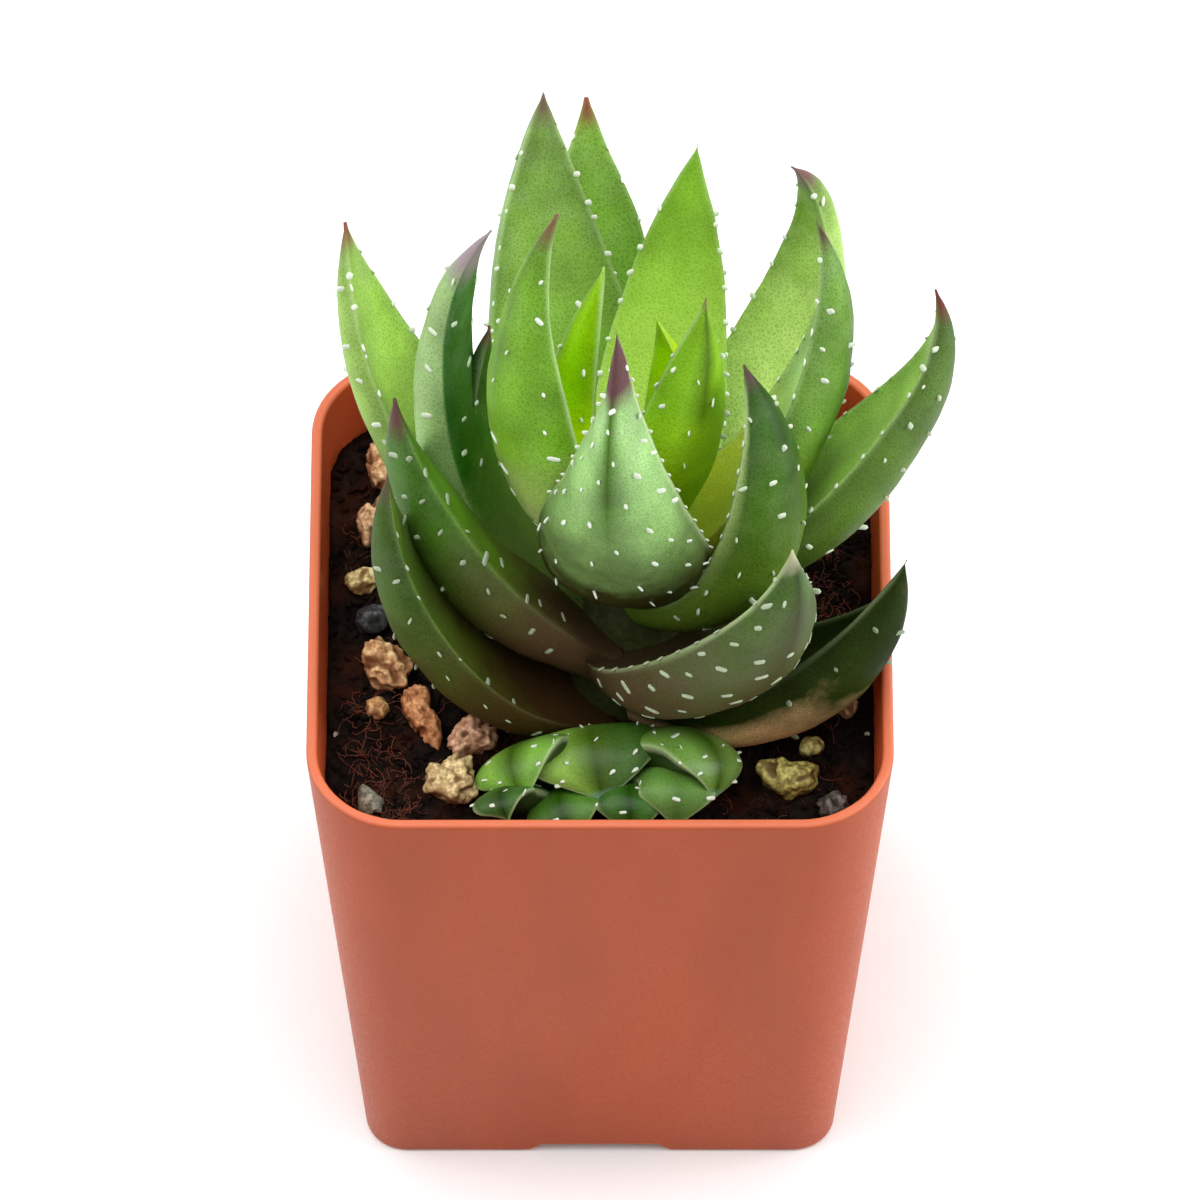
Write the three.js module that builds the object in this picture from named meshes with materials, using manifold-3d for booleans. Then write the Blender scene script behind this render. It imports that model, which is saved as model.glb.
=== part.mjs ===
// Potted haworthia: a spotted rosette with an offset pup, in a square terracotta-coloured
// plastic nursery pot. Millimetres, +Z up, origin on the ground in the middle of the pot.
import * as THREE from 'three';
import { mergeVertices } from 'three/addons/utils/BufferGeometryUtils.js';
import Module from 'manifold-3d';

const wasm = await Module();
wasm.setup();

// ---------------------------------------------------------------- driving dimensions

const POT_HEIGHT = 58;
const POT_TOP = 52; // width over the rim
const POT_BOTTOM = 43; // width at the ground
const TOP_CORNER_RADIUS = 8.4;
const BOTTOM_CORNER_RADIUS = 3.8;
const LEAST_CORNER_RADIUS = 0.8;
const WALL = 1;
const FLOOR = 2.4;
const EDGE = 0.35; // small rounding of the rim and of the foot
const CORNER_STEPS = 4;

const RECESS_WIDTH = 13.4; // drainage recess in the middle of each side of the foot
const RECESS_HEIGHT = 1.4;
const RECESS_DEPTH = 9;
const RECESS_SLOPE = 1.2;
const DRAIN_RADIUS = 2.4;
const DRAIN_SIDES = 14;
const DRAIN_FROM_CENTRE = 15.5;

const SOIL_LEVEL = 50.5;
const SOIL_RINGS = [1, 0.82, 0.6, 0.36];
const GAP = 0.35; // clearance between neighbouring pieces

const PLANT_BASE = [2, -4, SOIL_LEVEL];
const PLANT_LEAN_BACK = 15; // degrees
const PLANT_LEAN_SIDE = 4;
const PUP_BASE = [1, -17, 46.5];
const PUP_LEAN_BACK = -24;

// A stem is thick below, where old leaf bases wrap it, and thin at the heart.
const STEM = { foot: 2, thick: 5.2, thin: 2.2, root: -9, shoulder: 9, top: 21 };
const PUP_STEM = { foot: 1.5, thick: 2.8, thin: 1.4, root: -5, shoulder: 2, top: 4.5 };

const STEM_SIDES = 12;

const LEAF_START = 2.5; // distance of a leaf's first section from the stem's axis
const LEAF_RINGS = 9;
const LEAF_SIDES = 8;
const LEAF_TIP_SIZE = 0.3;
const LEAF_FOOT = 0.78; // width at the foot, as a share of the greatest width
const LEAF_BODY = 0.42; // thickness, as a share of the width
const LEAF_DISH = 0.18; // hollow of the inner face, as a share of the thickness
const DISH_ROUNDNESS = 1.3;
const BACK_ROUNDNESS = 0.9;
const MARGIN_SHARPNESS = 0.85;
const CLOSING_FROM = 0.75; // from here to the tip the inner face turns from hollow to ridged
const TIP_RIDGE = 0.25;
const HOOK_FROM = 0.65;
const ROLL_AT_FOOT = 0.4; // share of a leaf's roll that it has at its foot
const MARGIN_CLEARANCE = 0.6; // how far a clearance lifts the margin line, as a share of it
const DOTS_FROM = 1; // the first facet row, counted from the foot, that carries dots
const THICKNESS_ALONG = [0.75, 1, 0.95, 0.62, 0];

const TUBERCLE = { across: 0.6, along: 0.42, height: 0.62, sunk: 0.06 };
const TUBERCLE_SIDES = 3;
const MARGIN_TEETH = 4; // on each margin
const TOOTH_SIZE = 0.8; // as a share of a full-sized tubercle
const TEETH_FROM = 2; // the first facet row, counted from the foot, that carries teeth
const DOT_PLACES = { low: 0.32, high: 0.68, left: 0.36, right: 0.64 }; // within a facet's square
const DOT_SCATTER = 0.12;
const SEEDS = { rosette: 11, pup: 71, stones: 101 };

// ---------------------------------------------------------------- finishes

const POT_FINISH = { color: 0xb05c40, roughness: 0.45 };
const STEM_FINISH = { color: 0x43331f, roughness: 0.7 };
const PUP_STEM_FINISH = { color: 0x5f7a3c, roughness: 0.6 };
const SOIL_FINISH = { color: 0x241b14, roughness: 0.95 };
const HUSK_FINISH = { color: 0x9a7448, roughness: 0.9 };
const LEAF_ROUGHNESS = 0.42;
const STONE_GRAIN = 0.9; // roughness of a stone's finish

// ---------------------------------------------------------------- the leaves

// azimuth: direction from the stem; height: where the leaf leaves the stem; lean and end: angle
// to the stem's axis at the foot and at the tip; curl: how early the angle changes; hook: extra
// bend of the last third; sway: sideways turn; roll: turn about its own length; body: thickness
// as a share of the width; shape: width at mid length and at three quarters; dots: tubercles on
// the outer face; innerDots: those on the inner face; smooth: a leaf without teeth.
const ROSETTE = {
  leaf_heart_right: {
    azimuth: 301, height: 22, length: 26, lean: 12, end: 11, width: 9.2, curl: 1.6, hook: -3,
    sway: 1, body: 0.4, shape: [0.86, 0.49], dots: 6, colour: 0x5f9a1e,
  },
  leaf_heart_back: {
    azimuth: 42, height: 20.5, length: 20, lean: 13, end: -18, width: 5.9, curl: 1.6, hook: -2,
    sway: -4, roll: -5, shape: [0.83, 0.5], dots: 2, colour: 0x79ad2c,
  },
  leaf_heart_left: {
    azimuth: 190, height: 18.5, length: 28, lean: 20, end: -6, width: 9.3, curl: 1.6, hook: 7,
    sway: -3, roll: 5, body: 0.44, shape: [0.83, 0.53], dots: 3, colour: 0x6ba322,
  },
  leaf_inner_left: {
    azimuth: 216, height: 18, length: 41, lean: 41, end: 1, width: 12.2, curl: 1.6, hook: -24,
    sway: -4, roll: 9, shape: [0.86, 0.48], dots: 11, colour: 0x6b9a45,
  },
  leaf_right_upper: {
    azimuth: 3, height: 16, length: 38.5, lean: 47, end: 1, width: 12.8, curl: 1.5, hook: -20,
    roll: 15, body: 0.4, shape: [0.88, 0.47], dots: 11, colour: 0x5f8f3c,
  },
  leaf_front_spade: {
    azimuth: 260, height: 15.5, length: 45, lean: 50, end: 8, width: 15.2, curl: 1.7, hook: 22,
    sway: -11, body: 0.38, shape: [0.64, 0.21], foot: 0.85, dots: 15, colour: 0x4f8040,
  },
  leaf_right_wide: {
    azimuth: 358, height: 14, length: 40, lean: 62, end: 26, width: 14.6, curl: 1.6, hook: -43,
    sway: 7, roll: 13, shape: [0.86, 0.49], dots: 12, colour: 0x56843a,
  },
  leaf_front_right: {
    azimuth: 322, height: 12.5, length: 32, lean: 68, end: -16, width: 12.6, curl: 1.6, hook: -10,
    sway: 3, roll: -4, body: 0.4, shape: [0.82, 0.52], dots: 13, colour: 0x4c7c3a,
  },
  leaf_back_right: {
    azimuth: 80, height: 10.5, length: 39, lean: 49, end: 14, width: 12, curl: 1.6, hook: 5,
    sway: -6, foot: 0.8, shape: [0.91, 0.59], dots: 4, colour: 0x74a640,
  },
  leaf_left_behind: {
    azimuth: 163, height: 10.5, length: 29.5, lean: 66, end: 0, width: 9.4, curl: 1.5, hook: -3,
    sway: 6, roll: 15, shape: [0.84, 0.49], dots: 0, colour: 0x4c7431,
  },
  leaf_right_hooked: {
    azimuth: 48, height: 10, length: 46.5, lean: 70, end: -10, width: 13.3, curl: 1.25, hook: -35,
    sway: 3, roll: 7, body: 0.44, shape: [0.87, 0.38], dots: 5, colour: 0x6b9b45,
  },
  leaf_back_left: {
    azimuth: 114, height: 9, length: 46, lean: 54, end: 13, width: 14.3, curl: 1.5, hook: -10,
    sway: 4, roll: 5, foot: 0.8, shape: [0.92, 0.56], dots: 4, colour: 0x669440,
  },
  leaf_left_far: {
    azimuth: 154, height: 8.5, length: 43, lean: 71, end: 24, width: 14, curl: 1.5, hook: -12,
    sway: 2, roll: -5, shape: [0.82, 0.53], dots: 4, innerDots: 3, colour: 0x6c9a3f,
  },
  leaf_left_upper: {
    azimuth: 176, height: 8, length: 46, lean: 59, end: -6, width: 11.5, curl: 1.6, hook: -23,
    sway: -35, dish: -0.2, shape: [0.83, 0.52], dots: 3, innerDots: 10, colour: 0x45703a,
  },
  leaf_front_low: {
    azimuth: 299, height: 7, length: 33.5, lean: 64, end: 28, width: 17.5, curl: 1.15, hook: -31,
    sway: 10, roll: -4, body: 0.38, shape: [0.89, 0.52], dots: 15, colour: 0x4e7035,
  },
  leaf_left_low: {
    azimuth: 198, height: 6.5, length: 36, lean: 54, end: 26, width: 13.8, curl: 1.4, hook: -14,
    sway: -9, roll: -4, dish: -0.2, foot: 0.95, shape: [0.99, 0.59], dots: 4, innerDots: 9, colour: 0x4d7a2f,
  },
  leaf_back_mid: {
    azimuth: 99, height: 5, length: 47, lean: 60, end: 25, width: 14, curl: 1.6, hook: 2,
    sway: 4, roll: -1, foot: 0.8, shape: [0.92, 0.63], dots: 4, colour: 0x5d8c3a,
  },
  leaf_rear_right: {
    azimuth: 40, height: 4.5, length: 28, lean: 80, end: 26, width: 13, curl: 1.5, shape: [0.84, 0.5],
    dots: 3, smooth: true, colour: 0x50763a,
  },
  leaf_rear_left: {
    azimuth: 142, height: 4, length: 30, lean: 80, end: 30, width: 13, curl: 1.5, shape: [0.84, 0.5],
    dots: 3, smooth: true, colour: 0x50763a,
  },
  leaf_right_lowest: {
    azimuth: 337, height: 2.5, length: 32, lean: 86, end: 28, width: 15, curl: 1.6, hook: -11,
    sway: -1, roll: 12, body: 0.45, shape: [0.86, 0.51], dots: 7, colour: 0x35542a,
  },
  leaf_left_lowest: {
    azimuth: 210, height: 0.5, length: 41, lean: 65, end: 20, width: 14, curl: 1.4, hook: -13,
    roll: 33, shape: [0.84, 0.5], dots: 10, colour: 0x3f5c2c,
  },
};

// The pup's leaves curl in over its heart. path: the four control points of a leaf's middle line,
// on the pot's own axes; side: the direction from one margin to the other.
const PUP = {
  pup_leaf_heart_left: {
    path: [[-0.5, -18.5, 48.5], [-4, -18.7, 53.4], [-3.8, -22, 56.2], [-2, -23.6, 53]],
    side: [-0.95, 0, -0.3], width: 6.2, body: 0.25, dish: -1.1, foot: 0.55, shape: [1, 0.9],
    dots: 2, smooth: true, colour: 0x5f8f3c,
  },
  pup_leaf_heart_mid: {
    path: [[1.5, -18.5, 48.5], [2.4, -18.3, 54.8], [2.9, -21.6, 57.8], [2.5, -23.4, 53.6]],
    side: [-1, 0, 0], width: 5.2, body: 0.28, dish: -1.1, foot: 0.55, shape: [1, 0.9],
    dots: 2, smooth: true, colour: 0x4f8332,
  },
  pup_leaf_heart_right: {
    path: [[3, -17.5, 48.5], [6.6, -16.8, 53.6], [7.1, -20.2, 58], [6.6, -23, 53.4]],
    side: [-0.98, 0, 0.1], width: 6, body: 0.27, dish: -1.1, foot: 0.55, shape: [1, 0.9],
    dots: 2, smooth: true, colour: 0x6d9449,
  },
  pup_leaf_back: {
    path: [[0.8, -15.5, 49.5], [-1.6, -12.6, 55.8], [-0.6, -17.2, 58.4], [0.3, -20.9, 54.3]],
    side: [-0.98, -0.12, -0.1], width: 11.3, body: 0.16, dish: -1.4, foot: 0.55, shape: [1, 0.9],
    dots: 8, smooth: true, colour: 0x6a9a44,
  },
  pup_leaf_left: {
    path: [[-1, -16.5, 49], [-6.2, -12.7, 52.6], [-8.8, -17.2, 58.2], [-6.5, -20.8, 54.5]],
    side: [-0.72, 0.1, -0.68], width: 9.4, body: 0.17, dish: -1.7, foot: 0.55, shape: [1, 0.9],
    dots: 5, smooth: true, colour: 0x4c8030,
  },
  pup_leaf_right: {
    path: [[2, -15, 49.5], [5, -12.2, 55.4], [11.9, -17.2, 58], [9.8, -20.7, 54.4]],
    side: [-0.67, -0.47, 0.58], width: 8.5, body: 0.19, dish: -1.7, foot: 0.55, shape: [1, 0.9],
    dots: 6, smooth: true, colour: 0x5a8a3a,
  },
  pup_leaf_low: {
    path: [[-4, -18.5, 48.5], [-7.2, -18, 52], [-9.7, -20.4, 57], [-8, -23, 54.6]],
    side: [-0.8, 0.2, -0.55], width: 5.4, body: 0.2, dish: -1.6, foot: 0.55, shape: [1, 0.9],
    dots: 2, smooth: true, colour: 0x4c8030,
  },
};

// ---------------------------------------------------------------- what lies on the soil

// at: place on the soil; size: half extents; turn: degrees about Z; knobs: lumps fused to it.
const STONES = {
  stone_left_back: { at: [-19.8, 18.5], size: [1.5, 2.6, 1.6], turn: 10, knobs: 1, colour: 0xb08a5a },
  stone_left_rear: { at: [-20.4, 12], size: [1.6, 2.8, 1.7], turn: -12, knobs: 1, colour: 0xa98052 },
  stone_left_pale: { at: [-21.4, 6], size: [1.9, 1.5, 1.3], turn: 5, knobs: 0, colour: 0xc9b486 },
  stone_left_dark: { at: [-20.4, 1.9], size: [1.8, 1.5, 1.3], turn: -15, knobs: 0, colour: 0x3d4043 },
  stone_left_large: { at: [-19, -3.6], size: [2.2, 2.7, 2], turn: 18, knobs: 1, colour: 0xc09a66 },
  stone_left_small: { at: [-20, -8.6], size: [1.2, 1.2, 1.1], turn: 0, knobs: 0, colour: 0xa8845a },
  stone_left_long: { at: [-15.8, -9.2], size: [1.5, 3.3, 1.7], turn: 24, knobs: 1, colour: 0xb58d62 },
  stone_front_pink: { at: [-11.4, -11.4], size: [2.1, 1.8, 1.8], turn: 30, knobs: 3, colour: 0xc79d7c },
  stone_front_left: { at: [-13.2, -16.6], size: [2.3, 2.3, 1.9], turn: 0, knobs: 3, colour: 0xa99a55 },
  stone_front_right: { at: [17, -16.4], size: [2.7, 1.8, 1.7], turn: 8, knobs: 1, colour: 0xaaa35c },
  stone_right_small: { at: [18.8, -12.2], size: [1.3, 1.2, 1.2], turn: 20, knobs: 0, colour: 0xb5a266 },
  stone_right_tan: { at: [22, -7.8], size: [1.2, 1.3, 1.1], turn: 0, knobs: 0, colour: 0xb58f5f },
  stone_right_corner: { at: [20.6, -19], size: [1.6, 1.4, 1.2], turn: 0, knobs: 1, colour: 0x8f8163 },
};
const STONE_LIFT = 0.35; // share of its height by which a stone's middle lies above the soil
const STONE_ROUGHNESS = 0.28;
const KNOB = { from: 0.5, lift: 0.3, size: 0.67 }; // as shares of the stone's half extents
const STONE_ROOM = { plain: 1.25, knobbed: 1.5 }; // reach of the hollow in the soil around it
const HUSK = { at: [-20.6, -17.8], width: 2.4, length: 3.6, rise: 1.3, thickness: 0.6, turn: 20, lift: 0.25 };

// ---------------------------------------------------------------- small helpers

const degrees = THREE.MathUtils.degToRad;
const clamp = THREE.MathUtils.clamp;
const TINY = 1e-6;
const lerp = THREE.MathUtils.lerp;

// A seeded random draw between 0 and 1.
function seeded(seed) {
  let state = seed >>> 0;
  return () => {
    state = (Math.imul(state, 1664525) + 1013904223) >>> 0;
    return state / 4294967296;
  };
}

// A smooth curve through evenly spaced values.
function curveAt(values, t) {
  const x = clamp(t, 0, 1) * (values.length - 1);
  const i = Math.min(Math.floor(x), values.length - 2);
  const f = x - i;
  const slope = (k) => {
    if (k === 0) return values[1] - values[0];
    if (k === values.length - 1) return values[k] - values[k - 1];
    return (values[k + 1] - values[k - 1]) / 2;
  };
  const f2 = f * f;
  const f3 = f2 * f;
  return (2 * f3 - 3 * f2 + 1) * values[i] + (f3 - 2 * f2 + f) * slope(i)
    + (3 * f2 - 2 * f3) * values[i + 1] + (f3 - f2) * slope(i + 1);
}

// A copy that keeps only the positions.
function bareCopy(geometry) {
  const bare = geometry.clone();
  bare.deleteAttribute('normal');
  bare.deleteAttribute('uv');
  return bare;
}

// A closed geometry becomes a solid that can be joined and cut.
function solidOf(geometry) {
  const merged = mergeVertices(bareCopy(geometry), 1e-5);
  return new wasm.Manifold(new wasm.Mesh({
    numProp: 3,
    vertProperties: new Float32Array(merged.attributes.position.array),
    triVerts: new Uint32Array(merged.index.array),
  }));
}

// The largest body of a solid, as a geometry.
function geometryOf(solid) {
  const bodies = solid.decompose().sort((a, b) => b.volume() - a.volume());
  const mesh = bodies[0].getMesh();
  const geometry = new THREE.BufferGeometry();
  geometry.setAttribute('position', new THREE.BufferAttribute(new Float32Array(mesh.vertProperties), 3));
  geometry.setIndex(new THREE.BufferAttribute(new Uint32Array(mesh.triVerts), 1));
  geometry.computeVertexNormals();
  return geometry;
}

// A closed skin over rings of equal point count, with a fan over both ends.
function loft(rings) {
  const sides = rings[0].length;
  const points = rings.flat();
  const faces = [];
  for (let i = 0; i < rings.length - 1; i += 1) {
    for (let j = 0; j < sides; j += 1) {
      const a = i * sides + j;
      const b = i * sides + (j + 1) % sides;
      faces.push(a, b, b + sides, a, b + sides, a + sides);
    }
  }
  const centre = (ring) => ring.reduce((sum, p) => sum.add(p), new THREE.Vector3()).divideScalar(sides);
  const first = points.push(centre(rings[0])) - 1;
  const last = points.push(centre(rings[rings.length - 1])) - 1;
  const end = (rings.length - 1) * sides;
  for (let j = 0; j < sides; j += 1) {
    const k = (j + 1) % sides;
    faces.push(first, k, j, last, end + j, end + k);
  }
  const geometry = new THREE.BufferGeometry().setFromPoints(points);
  geometry.setIndex(faces);
  return geometry;
}

function material(finish) {
  return new THREE.MeshStandardMaterial({ ...finish, metalness: 0 });
}

const model = new THREE.Group();

function addPiece(name, solid, finish) {
  const mesh = new THREE.Mesh(geometryOf(solid), finish);
  mesh.name = name;
  model.add(mesh);
}

// ---------------------------------------------------------------- the pot

// A square with rounded corners, counter-clockwise seen from above.
function roundedSquare(half, radius, z) {
  const flat = half - radius;
  const ring = [];
  [[1, 1], [-1, 1], [-1, -1], [1, -1]].forEach(([sx, sy], corner) => {
    for (let k = 0; k <= CORNER_STEPS; k += 1) {
      const angle = degrees(90 * (corner + k / CORNER_STEPS));
      const x = sx * flat + radius * Math.cos(angle);
      const y = sy * flat + radius * Math.sin(angle);
      ring.push(new THREE.Vector3(x, y, z));
    }
  });
  return ring;
}

// The pot's outline at a height, moved in by an inset.
function potRing(z, inset) {
  const share = z / POT_HEIGHT;
  const half = lerp(POT_BOTTOM, POT_TOP, share) / 2;
  const radius = lerp(BOTTOM_CORNER_RADIUS, TOP_CORNER_RADIUS, share);
  return roundedSquare(half - inset, Math.max(radius - inset, LEAST_CORNER_RADIUS), z);
}

function recess() {
  const half = RECESS_WIDTH / 2;
  const outline = new THREE.Shape();
  outline.moveTo(-half, -1);
  outline.lineTo(half, -1);
  outline.lineTo(half, 0);
  outline.lineTo(half - RECESS_SLOPE, RECESS_HEIGHT);
  outline.lineTo(-half + RECESS_SLOPE, RECESS_HEIGHT);
  outline.lineTo(-half, 0);
  const geometry = new THREE.ExtrudeGeometry(outline, { depth: RECESS_DEPTH + 1, bevelEnabled: false });
  geometry.rotateX(Math.PI / 2);
  geometry.translate(0, -POT_BOTTOM / 2 + RECESS_DEPTH, 0);
  return geometry;
}

function potSolid() {
  const top = POT_HEIGHT;
  let pot = solidOf(loft([
    potRing(0, EDGE),
    potRing(EDGE, 0),
    potRing(top - EDGE, 0),
    potRing(top, EDGE),
  ]));
  pot = pot.subtract(solidOf(loft([
    potRing(FLOOR, WALL + EDGE),
    potRing(FLOOR + EDGE, WALL),
    potRing(top - EDGE, WALL),
    potRing(top + EDGE, WALL - EDGE),
  ])));
  for (let side = 0; side < 4; side += 1) {
    const drain = new THREE.CylinderGeometry(DRAIN_RADIUS, DRAIN_RADIUS, 4 * FLOOR, DRAIN_SIDES);
    drain.rotateX(Math.PI / 2);
    drain.translate(0, -DRAIN_FROM_CENTRE, 0);
    drain.rotateZ(side * Math.PI / 2);
    pot = pot.subtract(solidOf(recess().rotateZ(side * Math.PI / 2))).subtract(solidOf(drain));
  }
  return pot;
}

// ---------------------------------------------------------------- the soil

function soilHeight(x, y) {
  return SOIL_LEVEL + 0.5 * Math.sin(0.42 * x + 1) * Math.cos(0.37 * y)
    + 0.3 * Math.sin(1.1 * x - 0.6 * y) + 0.25 * Math.cos(0.9 * y + 0.5 * x);
}

function soilSolid() {
  const inset = WALL + GAP;
  const rings = [potRing(FLOOR + GAP, inset + EDGE)];
  const rim = potRing(SOIL_LEVEL, inset);
  for (const share of SOIL_RINGS) {
    rings.push(rim.map((p) => {
      const x = p.x * share;
      const y = p.y * share;
      return new THREE.Vector3(x, y, share === 1 ? SOIL_LEVEL : soilHeight(x, y));
    }));
  }
  return solidOf(loft(rings));
}

// ---------------------------------------------------------------- stems

function plantFrame(base, leanBack, leanSide) {
  const frame = new THREE.Matrix4().makeRotationY(degrees(leanSide));
  frame.multiply(new THREE.Matrix4().makeRotationX(-degrees(leanBack)));
  return frame.setPosition(...base);
}

function stemSolid(stem, frame, grow) {
  const profile = [
    new THREE.Vector2(0, stem.root - grow),
    new THREE.Vector2(stem.foot + grow, stem.root - grow),
    new THREE.Vector2(stem.thick + grow, -1),
    new THREE.Vector2(stem.thick + grow, stem.shoulder),
    new THREE.Vector2(stem.thin + grow, stem.top - 1),
    new THREE.Vector2(0, stem.top + grow),
  ];
  const geometry = new THREE.LatheGeometry(profile, STEM_SIDES);
  geometry.rotateX(Math.PI / 2);
  return solidOf(geometry.applyMatrix4(frame));
}

// ---------------------------------------------------------------- leaves

// Places along a leaf's middle line: position, direction, side and inner-face normal.
function leafSpine(leaf, count) {
  const sway = leaf.sway ?? 0;
  const hook = leaf.hook ?? 0;
  const lean = (t) => degrees(leaf.lean + (leaf.end - leaf.lean) * (1 - (1 - t) ** leaf.curl)
    + hook * clamp((t - HOOK_FROM) / (1 - HOOK_FROM), 0, 1) ** 2);
  const heading = (t) => degrees(leaf.azimuth + sway * t * t);
  const direction = (t) => new THREE.Vector3(
    Math.sin(lean(t)) * Math.cos(heading(t)),
    Math.sin(lean(t)) * Math.sin(heading(t)),
    Math.cos(lean(t)),
  );
  const azimuth = degrees(leaf.azimuth);
  const place = new THREE.Vector3(LEAF_START * Math.cos(azimuth), LEAF_START * Math.sin(azimuth), 0);
  place.z = leaf.height;
  const spine = [];
  for (let i = 0; i < count; i += 1) {
    const t = i / (count - 1);
    if (i > 0) place.addScaledVector(direction(t - 0.5 / (count - 1)), leaf.length / (count - 1));
    const along = direction(t);
    const turn = degrees(leaf.roll ?? 0) * lerp(ROLL_AT_FOOT, 1, t);
    const level = new THREE.Vector3(-Math.sin(heading(t)), Math.cos(heading(t)), 0);
    const side = level.applyAxisAngle(along, -turn);
    const inward = new THREE.Vector3().crossVectors(along, side);
    spine.push({ t, place: place.clone(), along, side, inward });
  }
  return spine;
}

// The same places for a leaf whose middle line is given by its control points.
function pathSpine(leaf, count) {
  const path = new THREE.CubicBezierCurve3(...leaf.path.map((point) => new THREE.Vector3(...point)));
  return Array.from({ length: count }, (unused, i) => {
    const t = i / (count - 1);
    const along = path.getTangent(t);
    const side = new THREE.Vector3(...leaf.side).projectOnPlane(along).normalize();
    const inward = new THREE.Vector3().crossVectors(along, side);
    return { t, place: path.getPoint(t), along, side, inward };
  });
}

// Rings of points around a leaf. Point 0 is one margin, the opposite one the other margin;
// the points between them are the inner face, the rest the outer face.
function leafRings(leaf, frame, grow) {
  const [middle, upper] = leaf.shape;
  const body = leaf.body ?? LEAF_BODY;
  const dish = leaf.dish ?? LEAF_DISH;
  const widthAlong = [leaf.foot ?? LEAF_FOOT, 1, middle, upper, 0];
  const spine = leaf.path ? pathSpine(leaf, LEAF_RINGS) : leafSpine(leaf, LEAF_RINGS);
  return spine.map(({ t, place, side, inward }) => {
    const width = Math.max(leaf.width * curveAt(widthAlong, t), LEAF_TIP_SIZE) + 2 * grow;
    const depth = Math.max(body * leaf.width * curveAt(THICKNESS_ALONG, t), LEAF_TIP_SIZE);
    const closing = clamp((t - CLOSING_FROM) / (1 - CLOSING_FROM), 0, 1);
    const ring = [];
    for (let j = 0; j < LEAF_SIDES; j += 1) {
      const angle = 2 * Math.PI * j / LEAF_SIDES;
      const across = Math.sign(Math.cos(angle)) * Math.abs(Math.cos(angle)) ** MARGIN_SHARPNESS * width / 2;
      const swell = Math.abs(Math.sin(angle));
      let out = MARGIN_CLEARANCE * grow;
      if (Math.sin(angle) > TINY) {
        const hollow = dish * swell ** DISH_ROUNDNESS * (1 - closing);
        out = (TIP_RIDGE * closing * swell - hollow) * depth + grow;
      } else if (Math.sin(angle) < -TINY) {
        out = -(swell ** BACK_ROUNDNESS) * (depth + grow);
      }
      const point = place.clone().addScaledVector(side, across).addScaledVector(inward, out);
      ring.push(point.applyMatrix4(frame));
    }
    return ring;
  });
}

// A point on a leaf's faceted skin with its normal; turn runs around the leaf from 0 to 1.
function onLeaf(rings, t, turn) {
  const row = Math.min(t * (LEAF_RINGS - 1), LEAF_RINGS - 1.01);
  const column = turn * LEAF_SIDES;
  const i = Math.floor(row);
  const j = Math.floor(column) % LEAF_SIDES;
  const k = (j + 1) % LEAF_SIDES;
  const f = column - Math.floor(column);
  const low = rings[i][j].clone().lerp(rings[i][k], f);
  const high = rings[i + 1][j].clone().lerp(rings[i + 1][k], f);
  const along = high.clone().sub(low).normalize();
  const before = rings[i][f > 0.01 ? j : (j + LEAF_SIDES - 1) % LEAF_SIDES];
  const across = rings[i][k].clone().sub(before).normalize();
  return { point: low.lerp(high, row - i), along, across };
}

function tubercle(rings, t, turn, size, grow) {
  const { point, along, across } = onLeaf(rings, t, turn);
  const normal = new THREE.Vector3().crossVectors(across, along).normalize();
  const side = new THREE.Vector3().crossVectors(along, normal);
  const bump = new THREE.ConeGeometry(1, 1, TUBERCLE_SIDES);
  bump.rotateX(Math.PI / 2);
  bump.scale(TUBERCLE.across * size + grow, TUBERCLE.along * size + grow, TUBERCLE.height + 2 * grow);
  const turnMatrix = new THREE.Matrix4().makeBasis(side, along, normal);
  point.addScaledVector(normal, -TUBERCLE.sunk);
  return solidOf(bump.applyMatrix4(turnMatrix.setPosition(point)));
}

// White tubercles: teeth on both margins, and dots spread over the outer and inner faces.
function tubercles(leaf, rings, seed, grow) {
  const draw = seeded(seed);
  const bumps = [];
  const teeth = leaf.smooth ? 0 : MARGIN_TEETH;
  for (let tooth = 0; tooth < teeth; tooth += 1) {
    for (const margin of [0, 0.5]) {
      const row = TEETH_FROM + Math.floor((LEAF_RINGS - 1 - TEETH_FROM) * (tooth + 0.5 * draw()) / teeth);
      const place = lerp(DOT_PLACES.left, DOT_PLACES.right, draw());
      bumps.push(tubercle(rings, (row + place) / (LEAF_RINGS - 1), margin, TOOTH_SIZE, grow));
    }
  }
  const facets = LEAF_SIDES / 2;
  const addDots = (count, firstColumn) => {
    for (let dot = 0; dot < count; dot += 1) {
      const row = DOTS_FROM + Math.floor((LEAF_RINGS - 1 - DOTS_FROM) * (dot + 0.6 * draw()) / count);
      const column = firstColumn + (dot * 2 + Math.floor(dot / facets)) % facets;
      const high = draw() > 0.5;
      const along = (high ? DOT_PLACES.high : DOT_PLACES.low) + DOT_SCATTER * (draw() - 0.5);
      const around = (high ? DOT_PLACES.left : DOT_PLACES.right) + DOT_SCATTER * (draw() - 0.5);
      const t = (row + along) / (LEAF_RINGS - 1);
      const turn = (column + around) / LEAF_SIDES;
      bumps.push(tubercle(rings, t, turn, 0.85 + 0.3 * draw(), grow));
    }
  };
  addDots(leaf.dots, facets);
  addDots(leaf.innerDots ?? 0, 0);
  return bumps;
}

// ---------------------------------------------------------------- stones and husk

function lumpShape(stone, at, scale, detail, grow) {
  const shape = mergeVertices(bareCopy(new THREE.IcosahedronGeometry(scale, detail)), 1e-4);
  shape.translate(...at);
  shape.scale(...stone.size.map((half) => half + grow));
  shape.rotateZ(degrees(stone.turn));
  const [x, y] = stone.at;
  return shape.translate(x, y, soilHeight(x, y) + stone.size[2] * STONE_LIFT);
}

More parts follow.
